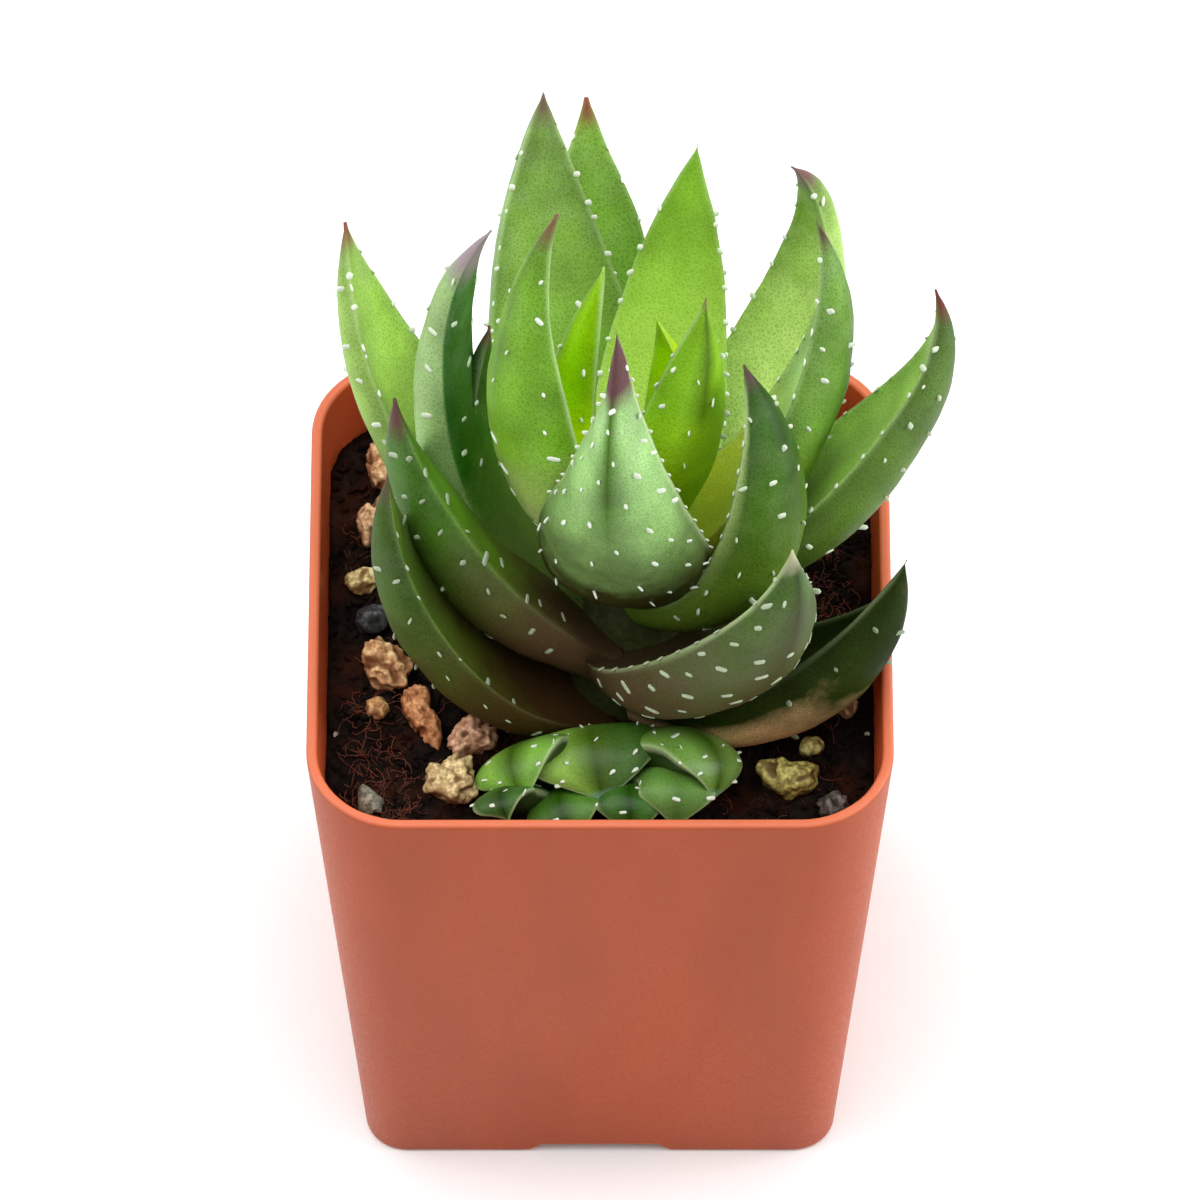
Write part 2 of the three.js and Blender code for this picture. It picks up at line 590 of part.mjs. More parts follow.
function roughen(shape, centre, draw) {
  const position = shape.attributes.position;
  for (let i = 0; i < position.count; i += 1) {
    const corner = new THREE.Vector3().fromBufferAttribute(position, i);
    corner.lerp(centre, STONE_ROUGHNESS * draw());
    position.setXYZ(i, corner.x, corner.y, corner.z);
  }
  return shape;
}

function stoneSolid(stone, seed) {
  const draw = seeded(seed);
  const centre = new THREE.Vector3(...stone.at, soilHeight(...stone.at));
  let solid = solidOf(roughen(lumpShape(stone, [0, 0, 0], 1, 1, 0), centre, draw));
  for (let knob = 0; knob < stone.knobs; knob += 1) {
    const angle = degrees(360 * (knob + 0.3 * draw()) / stone.knobs + 40);
    const at = [KNOB.from * Math.cos(angle), KNOB.from * Math.sin(angle), KNOB.lift];
    solid = solid.add(solidOf(lumpShape(stone, at, KNOB.size * (0.93 + 0.14 * draw()), 0, 0)));
  }
  return solid;
}

// The room that a stone takes: a plain block around it.
function stoneRoom(stone) {
  const reach = stone.knobs > 0 ? STONE_ROOM.knobbed : STONE_ROOM.plain;
  return solidOf(lumpShape(stone, [0, 0, 0], reach, 0, GAP));
}

// A dry husk chip: a short curved shell lying on the soil.
function huskSolid(grow) {
  const half = HUSK.width / 2 + grow;
  const skin = HUSK.thickness + grow;
  const outline = new THREE.Shape();
  outline.moveTo(-half, -grow);
  outline.quadraticCurveTo(0, 2 * HUSK.rise - grow, half, -grow);
  outline.lineTo(half, skin);
  outline.quadraticCurveTo(0, 2 * HUSK.rise + skin, -half, skin);
  const depth = HUSK.length + 2 * grow;
  const geometry = new THREE.ExtrudeGeometry(outline, { depth, bevelEnabled: false, curveSegments: 6 });
  geometry.translate(0, 0, -depth / 2);
  geometry.rotateX(Math.PI / 2);
  geometry.rotateZ(degrees(HUSK.turn));
  const [x, y] = HUSK.at;
  geometry.translate(x, y, soilHeight(x, y) + HUSK.lift);
  return solidOf(geometry);
}

// ---------------------------------------------------------------- assembly

const rosetteFrame = plantFrame(PLANT_BASE, PLANT_LEAN_BACK, PLANT_LEAN_SIDE);
const pupFrame = plantFrame(PUP_BASE, PUP_LEAN_BACK, 0);

let taken = null; // what is placed already, grown by the clearance

function keepClear(grown) {
  taken = taken ? taken.add(grown) : grown;
}

// A leaf with its tubercles as one solid.
function leafSolid(leaf, frame, seed, grow) {
  const body = solidOf(loft(leafRings(leaf, frame, grow)));
  const bumps = tubercles(leaf, leafRings(leaf, frame, 0), seed, grow);
  return bumps.reduce((solid, bump) => solid.add(bump), body);
}

function addLeaves(leaves, frame, seed) {
  Object.entries(leaves).forEach(([name, leaf], index) => {
    const solid = leafSolid(leaf, frame, seed + index, 0);
    addPiece(name, solid.subtract(taken), material({ color: leaf.colour, roughness: LEAF_ROUGHNESS }));
    keepClear(leafSolid(leaf, frame, seed + index, GAP));
  });
}

addPiece('pot', potSolid(), material(POT_FINISH));

addPiece('rosette_stem', stemSolid(STEM, rosetteFrame, 0), material(STEM_FINISH));
keepClear(stemSolid(STEM, rosetteFrame, GAP));
addLeaves(ROSETTE, rosetteFrame, SEEDS.rosette);

addPiece('pup_stem', stemSolid(PUP_STEM, pupFrame, 0).subtract(taken), material(PUP_STEM_FINISH));
keepClear(stemSolid(PUP_STEM, pupFrame, GAP));
addLeaves(PUP, new THREE.Matrix4(), SEEDS.pup);

Object.entries(STONES).forEach(([name, stone], index) => {
  const finish = material({ color: stone.colour, roughness: STONE_GRAIN });
  addPiece(name, stoneSolid(stone, SEEDS.stones + index).subtract(taken), finish);
  keepClear(stoneRoom(stone));
});
addPiece('husk_chip', huskSolid(0).subtract(taken), material(HUSK_FINISH));
keepClear(huskSolid(GAP));

addPiece('soil', soilSolid().subtract(taken), material(SOIL_FINISH));

export default model;
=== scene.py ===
"""The looks of a potted haworthia, laid out as a Blender add-on and run as a script.

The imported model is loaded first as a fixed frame. Each operator then makes one piece, or one
group of like pieces, over the nodes that it stands for. Lengths in the leaf, stone and pot data
are millimetres in the plant's own terms; every mesh is made in metres in the frame.
"""

import math
import random
from functools import partial

import bmesh
import bpy
from bpy.props import FloatProperty, FloatVectorProperty, IntProperty, PointerProperty
from mathutils import Matrix, Vector, noise


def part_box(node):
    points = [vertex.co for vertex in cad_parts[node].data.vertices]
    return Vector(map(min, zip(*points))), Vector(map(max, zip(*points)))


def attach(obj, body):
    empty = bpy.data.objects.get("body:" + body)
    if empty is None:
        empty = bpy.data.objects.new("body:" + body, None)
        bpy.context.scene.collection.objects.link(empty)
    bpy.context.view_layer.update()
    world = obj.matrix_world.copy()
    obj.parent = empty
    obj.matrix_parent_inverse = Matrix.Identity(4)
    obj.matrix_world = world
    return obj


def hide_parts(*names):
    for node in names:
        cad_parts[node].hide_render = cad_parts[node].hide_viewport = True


bl_info = {
    "name": "Potted haworthia",
    "version": (1, 0, 0),
    "blender": (4, 5, 0),
    "location": "View3D > Sidebar > Haworthia",
    "description": "A spotted haworthia rosette with its pup in a square plastic nursery pot",
    "category": "Add Mesh",
}

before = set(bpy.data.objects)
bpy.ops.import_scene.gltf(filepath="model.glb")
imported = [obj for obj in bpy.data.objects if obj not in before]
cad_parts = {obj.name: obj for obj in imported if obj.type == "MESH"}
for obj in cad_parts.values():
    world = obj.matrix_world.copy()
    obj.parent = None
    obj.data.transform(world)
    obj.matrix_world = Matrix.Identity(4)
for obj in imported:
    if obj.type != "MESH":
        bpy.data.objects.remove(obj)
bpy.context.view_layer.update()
BODY = "root"
MM = 0.001

# ---------------- sizes taken from the frame

POT_LOW, POT_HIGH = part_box("pot")
POT_HEIGHT = (POT_HIGH.z - POT_LOW.z) / MM
POT_TOP = (POT_HIGH.x - POT_LOW.x) / MM + 0.06  # the frame's rim is rounded over the last 0.35 mm
POT_BOTTOM = 43.0
TOP_CORNER_RADIUS = 8.4
BOTTOM_CORNER_RADIUS = 3.8
LEAST_CORNER_RADIUS = 0.5
WALL = 1.0
POT_FLOOR = 2.4
RIM_ROUND = 0.42
FOOT_ROUND = 0.5
FLOOR_FILLET = 1
RIM_WAVES = 0.35  # per millimetre
RIM_UNEVENNESS = 0.12
RECESS_WIDTH = 13.4
RECESS_HEIGHT = 1.4
RECESS_DEPTH = 9.0
RECESS_SLOPE = 1.2
DRAIN_RADIUS = 2.4
DRAIN_FROM_CENTRE = 15.5
SOIL_LEVEL = 50.5
CLEARANCE = 0.35

# Where each plant stands, how far it leans back and how far to the side, in degrees.
PLANT = ((2.0, -4.0, SOIL_LEVEL), 15.0, 4.0)
PUP_PLANT = ((1.0, -17.0, 46.5), -24.0, 0)
LEAF_START = 2.5

# ---------------- the leaves

def blade(azimuth, height, length, lean, end, width, skin, inner, base, **more):
    """A rosette leaf: its heading, how high it starts, its length, its lean at the foot and at
    the tip, its greatest width, and the colours of its outer face, its inner face and its foot."""
    return dict(azimuth=azimuth, height=height, length=length, lean=lean, end=end, width=width,
                skin=skin, inner=inner, base=base, **more)


# What a leaf may say besides. Shares along a leaf run from its foot to its tip; shares round it
# run from one margin over the inner face to the other margin at 0.5, and back over the keel.
# path and side: four points of the middle line and the way across it, for the pup's leaves.
# curl: how soon it bends; hook, sway and roll: how its tip turns up, aside and over.
# body: thickness as a share of the width; foot and shape: shares of the width along it; dish:
# hollow of the inner face; ridge: sharpness of the keel. left: colour of the outer face's far
# half, and crest: where the halves meet; seam: where the outer colour gives way to the inner.
# reach and base_from: how far up and round the foot's colour goes. tip, withered and frayed:
# where the dry tip starts, its colour, and how much of its margins stay green. rows, across and
# stagger: rows of tubercles on the outer face, how many lie in one, and how far every other row
# is moved; inner_rows, inner_across and inner_turn: the same on the inner face, and the share
# round it that they cover. teeth: tubercles on each margin, teeth_near: share of them on the
# first margin, tooth_in: how they sit off it. wax: their colour. bloom: strength of the waxy
# film; keel and edge: strength of the dark stripe and of the pale margin. slot: its finish.
LEAF_LOOK = dict(
    curl=1.6, hook=-3, sway=0, roll=0, body=0.42, foot=0.78, dish=0.18, shape=(0.84, 0.5), ridge=0.14,
    left=None, reach=0.35, base_from=-1, crest=0.75, seam=0.51, tip=1.2, withered="6E4640", frayed=0.25,
    rows=9, across=3, stagger=0, inner_rows=0, inner_across=2, inner_turn=(0, 0.5), teeth=9, teeth_near=1,
    tooth_in=0, wax="E6EEDC", bloom=0, keel=0.2, edge=0.2, slot="leaf_green")
# Painted shade: the pup's inner faces and feet are a near-black green for the shade in the creases
# between its curled leaves.
PUP_LOOK = dict(
    foot=0.55, dish=-1.1, shape=(1, 1.08), ridge=0.5, skin="4A7A24", inner="20380F", base="20380F",
    reach=0.3, withered="6F9A80", rows=3, across=2, stagger=0.6, teeth=0, bloom=0.05, keel=0.95,
    edge=0.35, slot="pup_leaf")
# Foot colours: the dark ones, such as leaf_front_spade's, are painted shade among the leaves' feet; the
# pale ones and leaf_right_lowest's dry brown are the leaves' own colour.
ROSETTE = {
    # Painted light: the three heart leaves' lime greens are pushed brighter for the light that shines
    # through them.
    "leaf_heart_right": blade(
        301, 22, 26, 12, 11, 9.2, "84B72B", "86BC3C", "AEE025", sway=1, body=0.4, shape=(0.86, 0.49),
        reach=0.45, tip=0.98, rows=6, teeth=6, keel=0.9, edge=0.3, slot="leaf_bright"),
    "leaf_heart_back": blade(
        42, 20.5, 20, 13, -18, 5.9, "D4FF02", "D4FF02", "8FC23C", hook=-2, sway=-4, roll=-5,
        shape=(0.83, 0.5), rows=2, across=1, teeth=0, keel=0.3, slot="leaf_bright"),
    "leaf_heart_left": blade(
        190, 18.5, 28, 20, -6, 9.3, "92C802", "7AB42E", "DEFF10", hook=7, sway=-3, roll=5, body=0.44,
        shape=(0.83, 0.53), reach=0.5, rows=5, teeth=7, tooth_in=-1, keel=0.6, edge=0.5,
        slot="leaf_bright"),
    "leaf_inner_left": blade(
        216, 18, 41, 41, 1, 12.2, "699921", "9CC868", "A7B271", hook=-24, sway=-4, roll=9,
        shape=(0.86, 0.48), tip=0.955, withered="6E4A3A", teeth=11, tooth_in=-1, bloom=0.08, keel=0.35,
        edge=0.3),
    "leaf_right_upper": blade(
        3, 16, 38.5, 47, 1, 12.8, "658F31", "9CC074", "9BA82D", curl=1.5, hook=-20, roll=15, body=0.4,
        shape=(0.88, 0.47), tip=0.95, withered="4A3028", frayed=0.5, bloom=0.12, keel=0.4),
    "leaf_front_spade": blade(
        260, 15.5, 45, 50, 8, 15.2, "8DB96A", "94B56E", "2C2C0A", curl=1.7, hook=22, sway=-11, body=0.38,
        foot=0.85, shape=(0.64, 0.21), reach=0.46, tip=0.82, withered="5A3A3C", frayed=0.45, rows=12,
        across=4, stagger=0.5, teeth=15, bloom=0.3, keel=1, edge=0.7),
    "leaf_right_wide": blade(
        358, 14, 39.9, 62, 26, 14.6, "4A681D", "90BD51", "40521C", hook=-43, sway=7, roll=13,
        shape=(0.86, 0.49), tip=0.955, withered="5E2A24", across=4, wax="CFDCC0", bloom=0.06, keel=0.35),
    "leaf_front_right": blade(
        322, 12.5, 32, 68, -16, 12.6, "2F5709", "9CB46C", "5E7A26", hook=-10, sway=3, roll=-4, body=0.4,
        shape=(0.82, 0.52), reach=0.6, seam=0.575, tip=0.955, withered="4E3A38", across=4, stagger=0.4,
        teeth=11, wax="CFDCC0", bloom=0.06, keel=0.6, edge=0.35),
    "leaf_back_right": blade(
        80, 10.5, 39, 49, 14, 12, "7CAA36", "7AB02C", "AED45C", hook=5, sway=-6, foot=0.8,
        shape=(0.91, 0.59), reach=0.75, rows=5, across=2, tooth_in=1, edge=0.25, slot="leaf_bright"),
    "leaf_left_behind": blade(
        163, 10.5, 29.5, 66, 0, 9.4, "42662A", "3F661F", "5A7038", curl=1.5, sway=6, roll=15,
        shape=(0.84, 0.49), tip=0.96, rows=4, across=2, teeth=5, bloom=0.05, keel=0.3, slot="leaf_dark"),
    "leaf_right_hooked": blade(
        48, 10, 46.5, 70, -10, 13.3, "6F9A32", "63970C", "D4EE90", curl=1.25, hook=-35, sway=3, roll=7,
        body=0.44, shape=(0.87, 0.38), reach=0.73, tip=0.93, withered="6C4C4A", rows=8, across=2,
        bloom=0.05),
    "leaf_back_left": blade(
        114, 9, 46, 54, 13, 14.3, "7CA858", "7BA23F", "84B747", curl=1.5, hook=-10, sway=4, roll=5,
        foot=0.8, shape=(0.92, 0.56), reach=0.45, tip=0.955, withered="6F5A4E", rows=7, across=2,
        teeth=13, tooth_in=1, bloom=0.15, keel=0.15, edge=0.35),
    "leaf_left_far": blade(
        154, 8.5, 43, 71, 24, 14, "8AB049", "9CC84F", "38480A", curl=1.5, hook=-12, sway=2, roll=-5,
        shape=(0.82, 0.53), reach=0.52, tip=0.965, withered="7C3A34", rows=8, inner_rows=6,
        inner_across=1, inner_turn=(0.04, 0.14), tooth_in=1, bloom=0.1, keel=0.1, edge=0.25),
    "leaf_left_upper": blade(
        176, 8, 46, 59, -6, 11.5, "86A663", "266201", "708A43", hook=-23, sway=-35, dish=-0.2,
        shape=(0.83, 0.52), tip=0.89, withered="8F8086", rows=8, inner_rows=11, inner_across=1, teeth=0,
        teeth_near=0, wax="CFDCC0", bloom=0.15, keel=0, edge=0),
    # Painted shade: the dark greens of leaf_front_low, leaf_left_low, leaf_right_lowest and
    # leaf_left_lowest are darkened for the shade beneath the rosette. The inner faces of leaf_left_low
    # and leaf_left_lowest are painted lighter than their outer faces, painted light against that shade.
    "leaf_front_low": blade(
        299, 7, 33.5, 64, 28, 17.5, "3D6018", "5F822F", "463823", curl=1.15, hook=-31, sway=10, roll=-4,
        body=0.38, shape=(0.89, 0.52), reach=0.8, tip=0.975, withered="B4AE92", rows=10, across=5,
        stagger=0.5, teeth=11, wax="A9B898", bloom=0.06, keel=0.8, edge=0.45),
    "leaf_left_low": blade(
        198, 6.5, 36, 54, 26, 13.8, "3E6A0A", "5A8E12", "54402A", curl=1.4, hook=-14, sway=-9, roll=-4,
        foot=0.95, dish=-0.2, shape=(0.99, 0.59), reach=0.55, tip=0.935, withered="5A3C38", rows=8,
        across=4, inner_rows=9, teeth=10, teeth_near=0, wax="A9B898", bloom=0.06, edge=0.05),
    "leaf_back_mid": blade(
        99, 5, 47, 60, 25, 14, "78A850", "7EAA3B", "447408", hook=2, sway=4, roll=-1, foot=0.8,
        shape=(0.92, 0.63), reach=0.7, tip=0.965, withered="7A4232", rows=6, across=2, teeth=10,
        tooth_in=1, bloom=0.08),
    "leaf_rear_right": blade(
        40, 4.5, 28, 80, 26, 13, "4E7434", "537832", "6E6A44", curl=1.5, hook=0, tip=0.96, bloom=0.3,
        keel=0.3, edge=0.4, slot="leaf_dark"),
    "leaf_rear_left": blade(
        142, 4, 30, 80, 30, 13, "4E7434", "537832", "6E6A44", curl=1.5, hook=0, tip=0.96, bloom=0.3,
        keel=0.3, edge=0.4, slot="leaf_dark"),
    "leaf_right_lowest": blade(
        337, 2.5, 32, 86, 28, 15, "23310B", "1A2806", "E8C48C", hook=-11, sway=-1, roll=12, body=0.45,
        shape=(0.86, 0.51), reach=0.46, base_from=0.63, rows=5, teeth=0, wax="8FA082", edge=0.15,
        slot="leaf_dark"),
    "leaf_left_lowest": blade(
        210, 0.5, 41, 65, 20, 14, "375010", "5A7C20", "46321A", curl=1.4, hook=-13, roll=33, reach=0.55,
        tip=0.965, withered="5E4A40", rows=8, across=4, inner_rows=8, teeth_near=0, wax="A9B898",
        bloom=0.06, edge=0.05, slot="leaf_dark"),
}
PUP = {
    "pup_leaf_heart_left": dict(
        path=((-0.5, -18.5, 48.5), (-4, -18.2, 52.7), (-3.8, -21.8, 55.3), (-2, -23.6, 52.2)),
        side=(-0.95, 0, -0.3), width=6.2, body=0.25),
    "pup_leaf_heart_mid": dict(
        path=((1.5, -18.5, 48.5), (2.4, -18, 53.9), (2.9, -21.4, 56.8), (2.5, -23.4, 52.7)),
        side=(-1, 0, 0), width=5.2, body=0.28, skin="36661A"),
    "pup_leaf_heart_right": dict(
        path=((3, -17.5, 48.5), (6.6, -16.8, 53.6), (7.1, -20.2, 58), (6.6, -23, 53.4)),
        side=(-0.98, 0, 0.1), width=6, body=0.27, skin="5E8A38", keel=0.5),
    "pup_leaf_back": dict(
        path=((0.8, -15.5, 49.5), (-1.6, -12.6, 55.8), (-0.6, -17.2, 58.4), (0.3, -20.9, 54.3)),
        side=(-0.98, -0.12, -0.1), width=11.6, body=0.16, dish=-1.4, shape=(1, 0.92), skin="86B044",
        left="3E661C", tip=0.95, rows=6, across=4),
    "pup_leaf_left": dict(
        path=((-1, -16.5, 49), (-6.2, -12.7, 52.6), (-8.8, -17.2, 58.2), (-6.5, -20.8, 54.5)),
        side=(-0.72, 0.1, -0.68), width=9.6, body=0.17, dish=-1.7, shape=(1, 0.92), skin="7DB343",
        tip=0.95, rows=6, across=3),
    "pup_leaf_right": dict(
        path=((2, -15, 49.5), (5, -12.2, 55.4), (11.9, -17.2, 58), (9.8, -20.7, 54.4)),
        side=(-0.67, -0.47, 0.58), width=8.6, body=0.19, dish=-1.7, shape=(1, 0.92), skin="6E9840",
        tip=0.95, rows=7, across=3),
    "pup_leaf_low": dict(
        path=((-4, -18.5, 48.5), (-7.2, -18, 52), (-9.7, -20.4, 57), (-8, -23, 54.6)),
        side=(-0.8, 0.2, -0.55), width=5.4, body=0.2, dish=-1.6, skin="3E6A22", rows=5),
}
# Roughness, coat, specular level and strength of the net of each slot's finish.
SKIN_FINISH = {
    "leaf_green": (0.44, 0.06, 0.14, 0.15), "leaf_bright": (0.4, 0.06, 0.14, 0.1),
    "leaf_dark": (0.5, 0.0, 0.06, 0.19), "pup_leaf": (0.34, 0.22, 0.2, 0.09),
}
THICKNESS_ALONG = (0.75, 1, 0.95, 0.62, 0)
LEAST_WIDTH = 0.16
MARGIN_ROUND = 0.85  # below 1, a section's margins are fuller than an ellipse's
LEAF_SWELLS = ((0.16, 0.22), (0.5, 0.06))  # waves per millimetre and their height

# Ramps of the masks on a leaf's skin: shares along it or round it, and millimetres from a margin.
TIP_FADE = (-0.08, 0.05)
FOOT_FADE = (-0.04, 0.02)
CREST_BLEND, SEAM_BLEND = 0.04, 0.02
FRAYED_EDGE, MARGIN_LINE, MARGIN_SHADE = (0.05, 0.4), (0.1, 0.5), (0.4, 2.6)
STRIPE_ROUND, STRIPE_ALONG, STRIPE_END = (0.08, 0.24), (0.3, 0.6), (0.95, 1)
BLOOM_ALONG = (0.35, 0.9)
MOTTLE = (0.3, 0.35)  # waves per millimetre and their strength
ROSETTE_SEED, PUP_SEED, SEED_STEP = 11, 71, 97
PUP_SPOT_SCALE = 0.7

# ---------------- what lies on the soil

# For each stone: where its middle is, its half sizes, its turn, its knobs and its colour.
STONES = {
    "stone_left_back": (-19.8, 18.5, (1.5, 2.6, 1.6), 10, 1, "DCA878"),
    "stone_left_rear": (-20.4, 12, (1.6, 2.8, 1.7), -12, 1, "CCA074"),
    "stone_left_pale": (-21.4, 6, (1.9, 1.5, 1.3), 5, 0, "ECD08D"),
    "stone_left_dark": (-20.4, 1.9, (1.8, 1.5, 1.3), -15, 0, "34383C"),
    "stone_left_large": (-19, -3.6, (2.2, 2.7, 2), 18, 1, "E8B27C"),
    "stone_left_small": (-20, -8.6, (1.2, 1.2, 1.1), 0, 0, "D8A468"),
    "stone_left_long": (-15.8, -9.2, (1.5, 3.3, 1.7), 24, 1, "D8925C"),
    "stone_front_pink": (-11.4, -11.4, (2.1, 1.8, 1.8), 30, 3, "D09C78"),
    "stone_front_left": (-13.2, -16.6, (2.3, 2.3, 1.9), 0, 3, "CCB27C"),
    "stone_front_right": (17, -16.4, (2.7, 1.8, 1.7), 8, 1, "A8A050"),
    "stone_right_small": (18.8, -12.2, (1.3, 1.2, 1.2), 20, 0, "B4AC60"),
    "stone_right_tan": (22, -7.8, (1.2, 1.3, 1.1), 0, 0, "D0A878"),
    "stone_right_corner": (20.6, -19, (1.6, 1.4, 1.2), 0, 1, "4C463E"),
}
STONE_LIFT = 0.35
STONE_SEED = 101
STONE_BODY = 0.9
STONE_LUMPS, STONE_GRAIN, STONE_DENTS = (0.55, 0.3), (3, 0.035), (0.9, 0.36)  # per mm, share
KNOB = dict(start=0.5, lift=0.3, size=0.67, first=40, astray=0.3)
HUSK = dict(at=(-20.6, -17.8), width=2.4, length=3.6, rise=1.3, skin=0.6, turn=20, lift=0.25)
HUSK_STEPS = (24, 16)

SOIL_RINGS = 44
SOIL_SPACING = 0.7
SOIL_CORNER_STEPS = 30
SOIL_INSET = WALL + 0.05
GRIT_SEED, CRUMB_SEED, FIBRE_SEED = 41, 51, 31
FIBRE_PATCHES = (
    (-22, -8, 5), (-21, -14, 5), (-20, -20, 6), (20, 8, 8), (18, 3, 6), (-21, 10, 4))
FIBRE_PATCH_CORE = 0.4
FIBRES_ELSEWHERE = 0.06
FIBRE_FADE = (0.87, 0.93)  # near the pot's wall, so that no fibre runs through it

STEMS = {
    "rosette_stem": dict(foot=2, thick=5.2, thin=2.2, root=-9, shoulder=9, top=21),
    "pup_stem": dict(foot=1.5, thick=2.8, thin=1.4, root=-5, shoulder=2, top=4.5),
}
STEM_POINT = 0.2
STEM_STEPS = 4
SCARS = (2.4, 0.12)  # radians per millimetre of height, and depth
STEM_BUMPS = 0.15

# ---------------- the stage

LIGHTS = {  # place and size in metres, power in watts
    "top_box": ((-0.15, 0.05, 1.2), 1.5, 17.0), "left_box": ((-1.0, 0.0, 0.4), 0.7, 3.0),
    "right_box": ((1.0, 0.0, 0.4), 0.7, 8.0),
}
LIGHT_AIM = Vector((0, 0, 0.07))
SKY_STRENGTH = 0.55
FLOOR_HALF = 3000
FLOOR_DROP = 0.02


# ---------------- settings a user would change

def linear(code):
    """An sRGB hex value as the linear colour that Blender's sockets take."""
    channels = [int(code[i:i + 2], 16) / 255 for i in (0, 2, 4)]
    return [c / 12.92 if c <= 0.04045 else ((c + 0.055) / 1.055) ** 2.4 for c in channels]


def colour_setting(name, description, code):
    return FloatVectorProperty(
        name=name, description=description, default=linear(code), subtype="COLOR", size=3,
        min=0, max=1)


def length_setting(name, description, millimetres):
    return FloatProperty(
        name=name, description=description, default=millimetres * MM, unit="LENGTH")


def count_setting(name, description, default, least):
    return IntProperty(name=name, description=description, default=default, min=least)


def density_setting(name, description, default):
    return FloatProperty(name=name, description=description, default=default, min=0)


class LeafSettings(bpy.types.PropertyGroup):
    """Fineness of the leaves and size of their tubercles."""
    rings: count_setting("Rings", "Sections along a leaf", 56, 9)
    sides: count_setting("Sides", "Points round a section", 40, 8)
    spot_length: length_setting("Tubercle length", "Its size across the leaf", 1.08)
    spot_width: length_setting("Tubercle width", "Its size along the leaf", 0.52)
    spot_height: length_setting("Tubercle height", "How far it stands out", 0.22)
    margin_colour: colour_setting("Margin", "The pale line along a leaf's edge", "C6D9A2")
    bloom_colour: colour_setting("Bloom", "The waxy film on old leaves", "B9CCB0")


class PotSettings(bpy.types.PropertyGroup):
    """The pot's look."""
    corner_steps: count_setting("Corner steps", "Points in each rounded corner", 14, 4)
    plastic_colour: colour_setting("Plastic", "Terracotta-coloured polypropylene", "A64416")
    # Inside is a painted glow, for light shining through the thin wall; Rim is a painted highlight on the
    # rim's top edge.
    painted_glow_colour: colour_setting("Inside", "The redder inner walls", "D25C34")
    painted_rim_highlight: colour_setting("Rim", "The highlit edge of the rim", "E0805E")


class SoilSettings(bpy.types.PropertyGroup):
    """How rough the potting mix is, and what lies in it."""
    crumb_density: density_setting("Crumbs", "Crumbs of peat per square metre", 0.9e6)
    crumb_size: length_setting("Crumb size", "Mean size of a crumb", 0.95)
    grit_density: density_setting("Grit", "Bits of perlite per square metre", 4000)
    fibre_density: density_setting("Fibres", "Coir fibres per square metre", 3.2e6)
    fibre_length: length_setting("Fibre length", "Mean length of a fibre", 2.8)
    peat_colour: colour_setting("Peat", "Damp dark potting mix", "1C110B")
    fibre_colour: colour_setting("Coir", "Red-brown coir fibre", "7E3819")
    grit_colour: colour_setting("Perlite", "Pale bits of perlite", "CFC6B0")


class StageSettings(bpy.types.PropertyGroup):
    """Camera and light."""
    elevation: FloatProperty(
        name="Camera elevation", description="Angle above the horizon",
        default=math.radians(53.7), subtype="ANGLE")
    distance: length_setting("Camera distance", "From the point it looks at", 1100)
    aim_height: length_setting("Aim height", "Height of the point it looks at", 56.36)
    focal_length: FloatProperty(
        name="Lens", description="Focal length in millimetres on a 36 mm sensor", default=369.6)
    floor_colour: colour_setting("Floor", "Plain pale floor", "FAFAFA")


# ---------------- small helpers

def lerp(a, b, t):
    return a + (b - a) * t


def clamp(value, low=0.0, high=1.0):
    return max(low, min(high, value))


def smooth(value, low, high):
    """0 below low, 1 above high, and a smooth rise between them."""
    t = clamp((value - low) / (high - low))
    return t * t * (3 - 2 * t)


def around(angle, radius=1.0, z=0.0):
    """A place at an angle, a distance and a height about the upright axis."""
    return Vector((radius * math.cos(angle), radius * math.sin(angle), z))


def curve_at(values, t):
    """A smooth curve through evenly spaced values."""
    last = len(values) - 1
    x = clamp(t) * last
    i = min(int(x), last - 1)
    f = x - i

    def slope(k):
        if k == 0:
            return values[1] - values[0]
        if k == last:
            return values[k] - values[k - 1]
        return (values[k + 1] - values[k - 1]) / 2

    return ((2 * f ** 3 - 3 * f ** 2 + 1) * values[i] + (f ** 3 - 2 * f ** 2 + f) * slope(i)
            + (3 * f ** 2 - 2 * f ** 3) * values[i + 1] + (f ** 3 - f ** 2) * slope(i + 1))


def loft(rings):
    """Points and faces of a closed skin over rings of equal point count, with both ends capped."""
    sides = len(rings[0])
    points = [p for ring in rings for p in ring]
    faces = []
    for i in range(len(rings) - 1):
        for j in range(sides):
            a, b = i * sides + j, i * sides + (j + 1) % sides
            faces.append((a, b, b + sides, a + sides))
    faces.append(tuple(range(sides - 1, -1, -1)))
    faces.append(tuple(range(len(points) - sides, len(points))))
    return points, faces


def add_object(name, data):
    """A new object in the scene, at the origin and unturned."""
    made = bpy.data.objects.new(name, data)
    bpy.context.scene.collection.objects.link(made)
    return made


def mesh_piece(name, points, faces):
    """A new smooth object whose mesh is given in millimetres in the frame."""
    mesh = bpy.data.meshes.new(name)
    mesh.from_pydata([Vector(p) * MM for p in points], [], faces)
    mesh.validate()
    mesh.shade_smooth()
    return add_object(name, mesh)


def face_outward(mesh):
    """Turns every face of a closed mesh outward."""
    built = bmesh.new()
    built.from_mesh(mesh)
    bmesh.ops.recalc_face_normals(built, faces=built.faces)
    built.to_mesh(mesh)
    built.free()


def keep_crisp(mesh, degrees):
    """Smooth faces with sharp edges where they meet at more than an angle."""
    mesh.shade_smooth()
    mesh.set_sharp_from_angle(angle=math.radians(degrees))


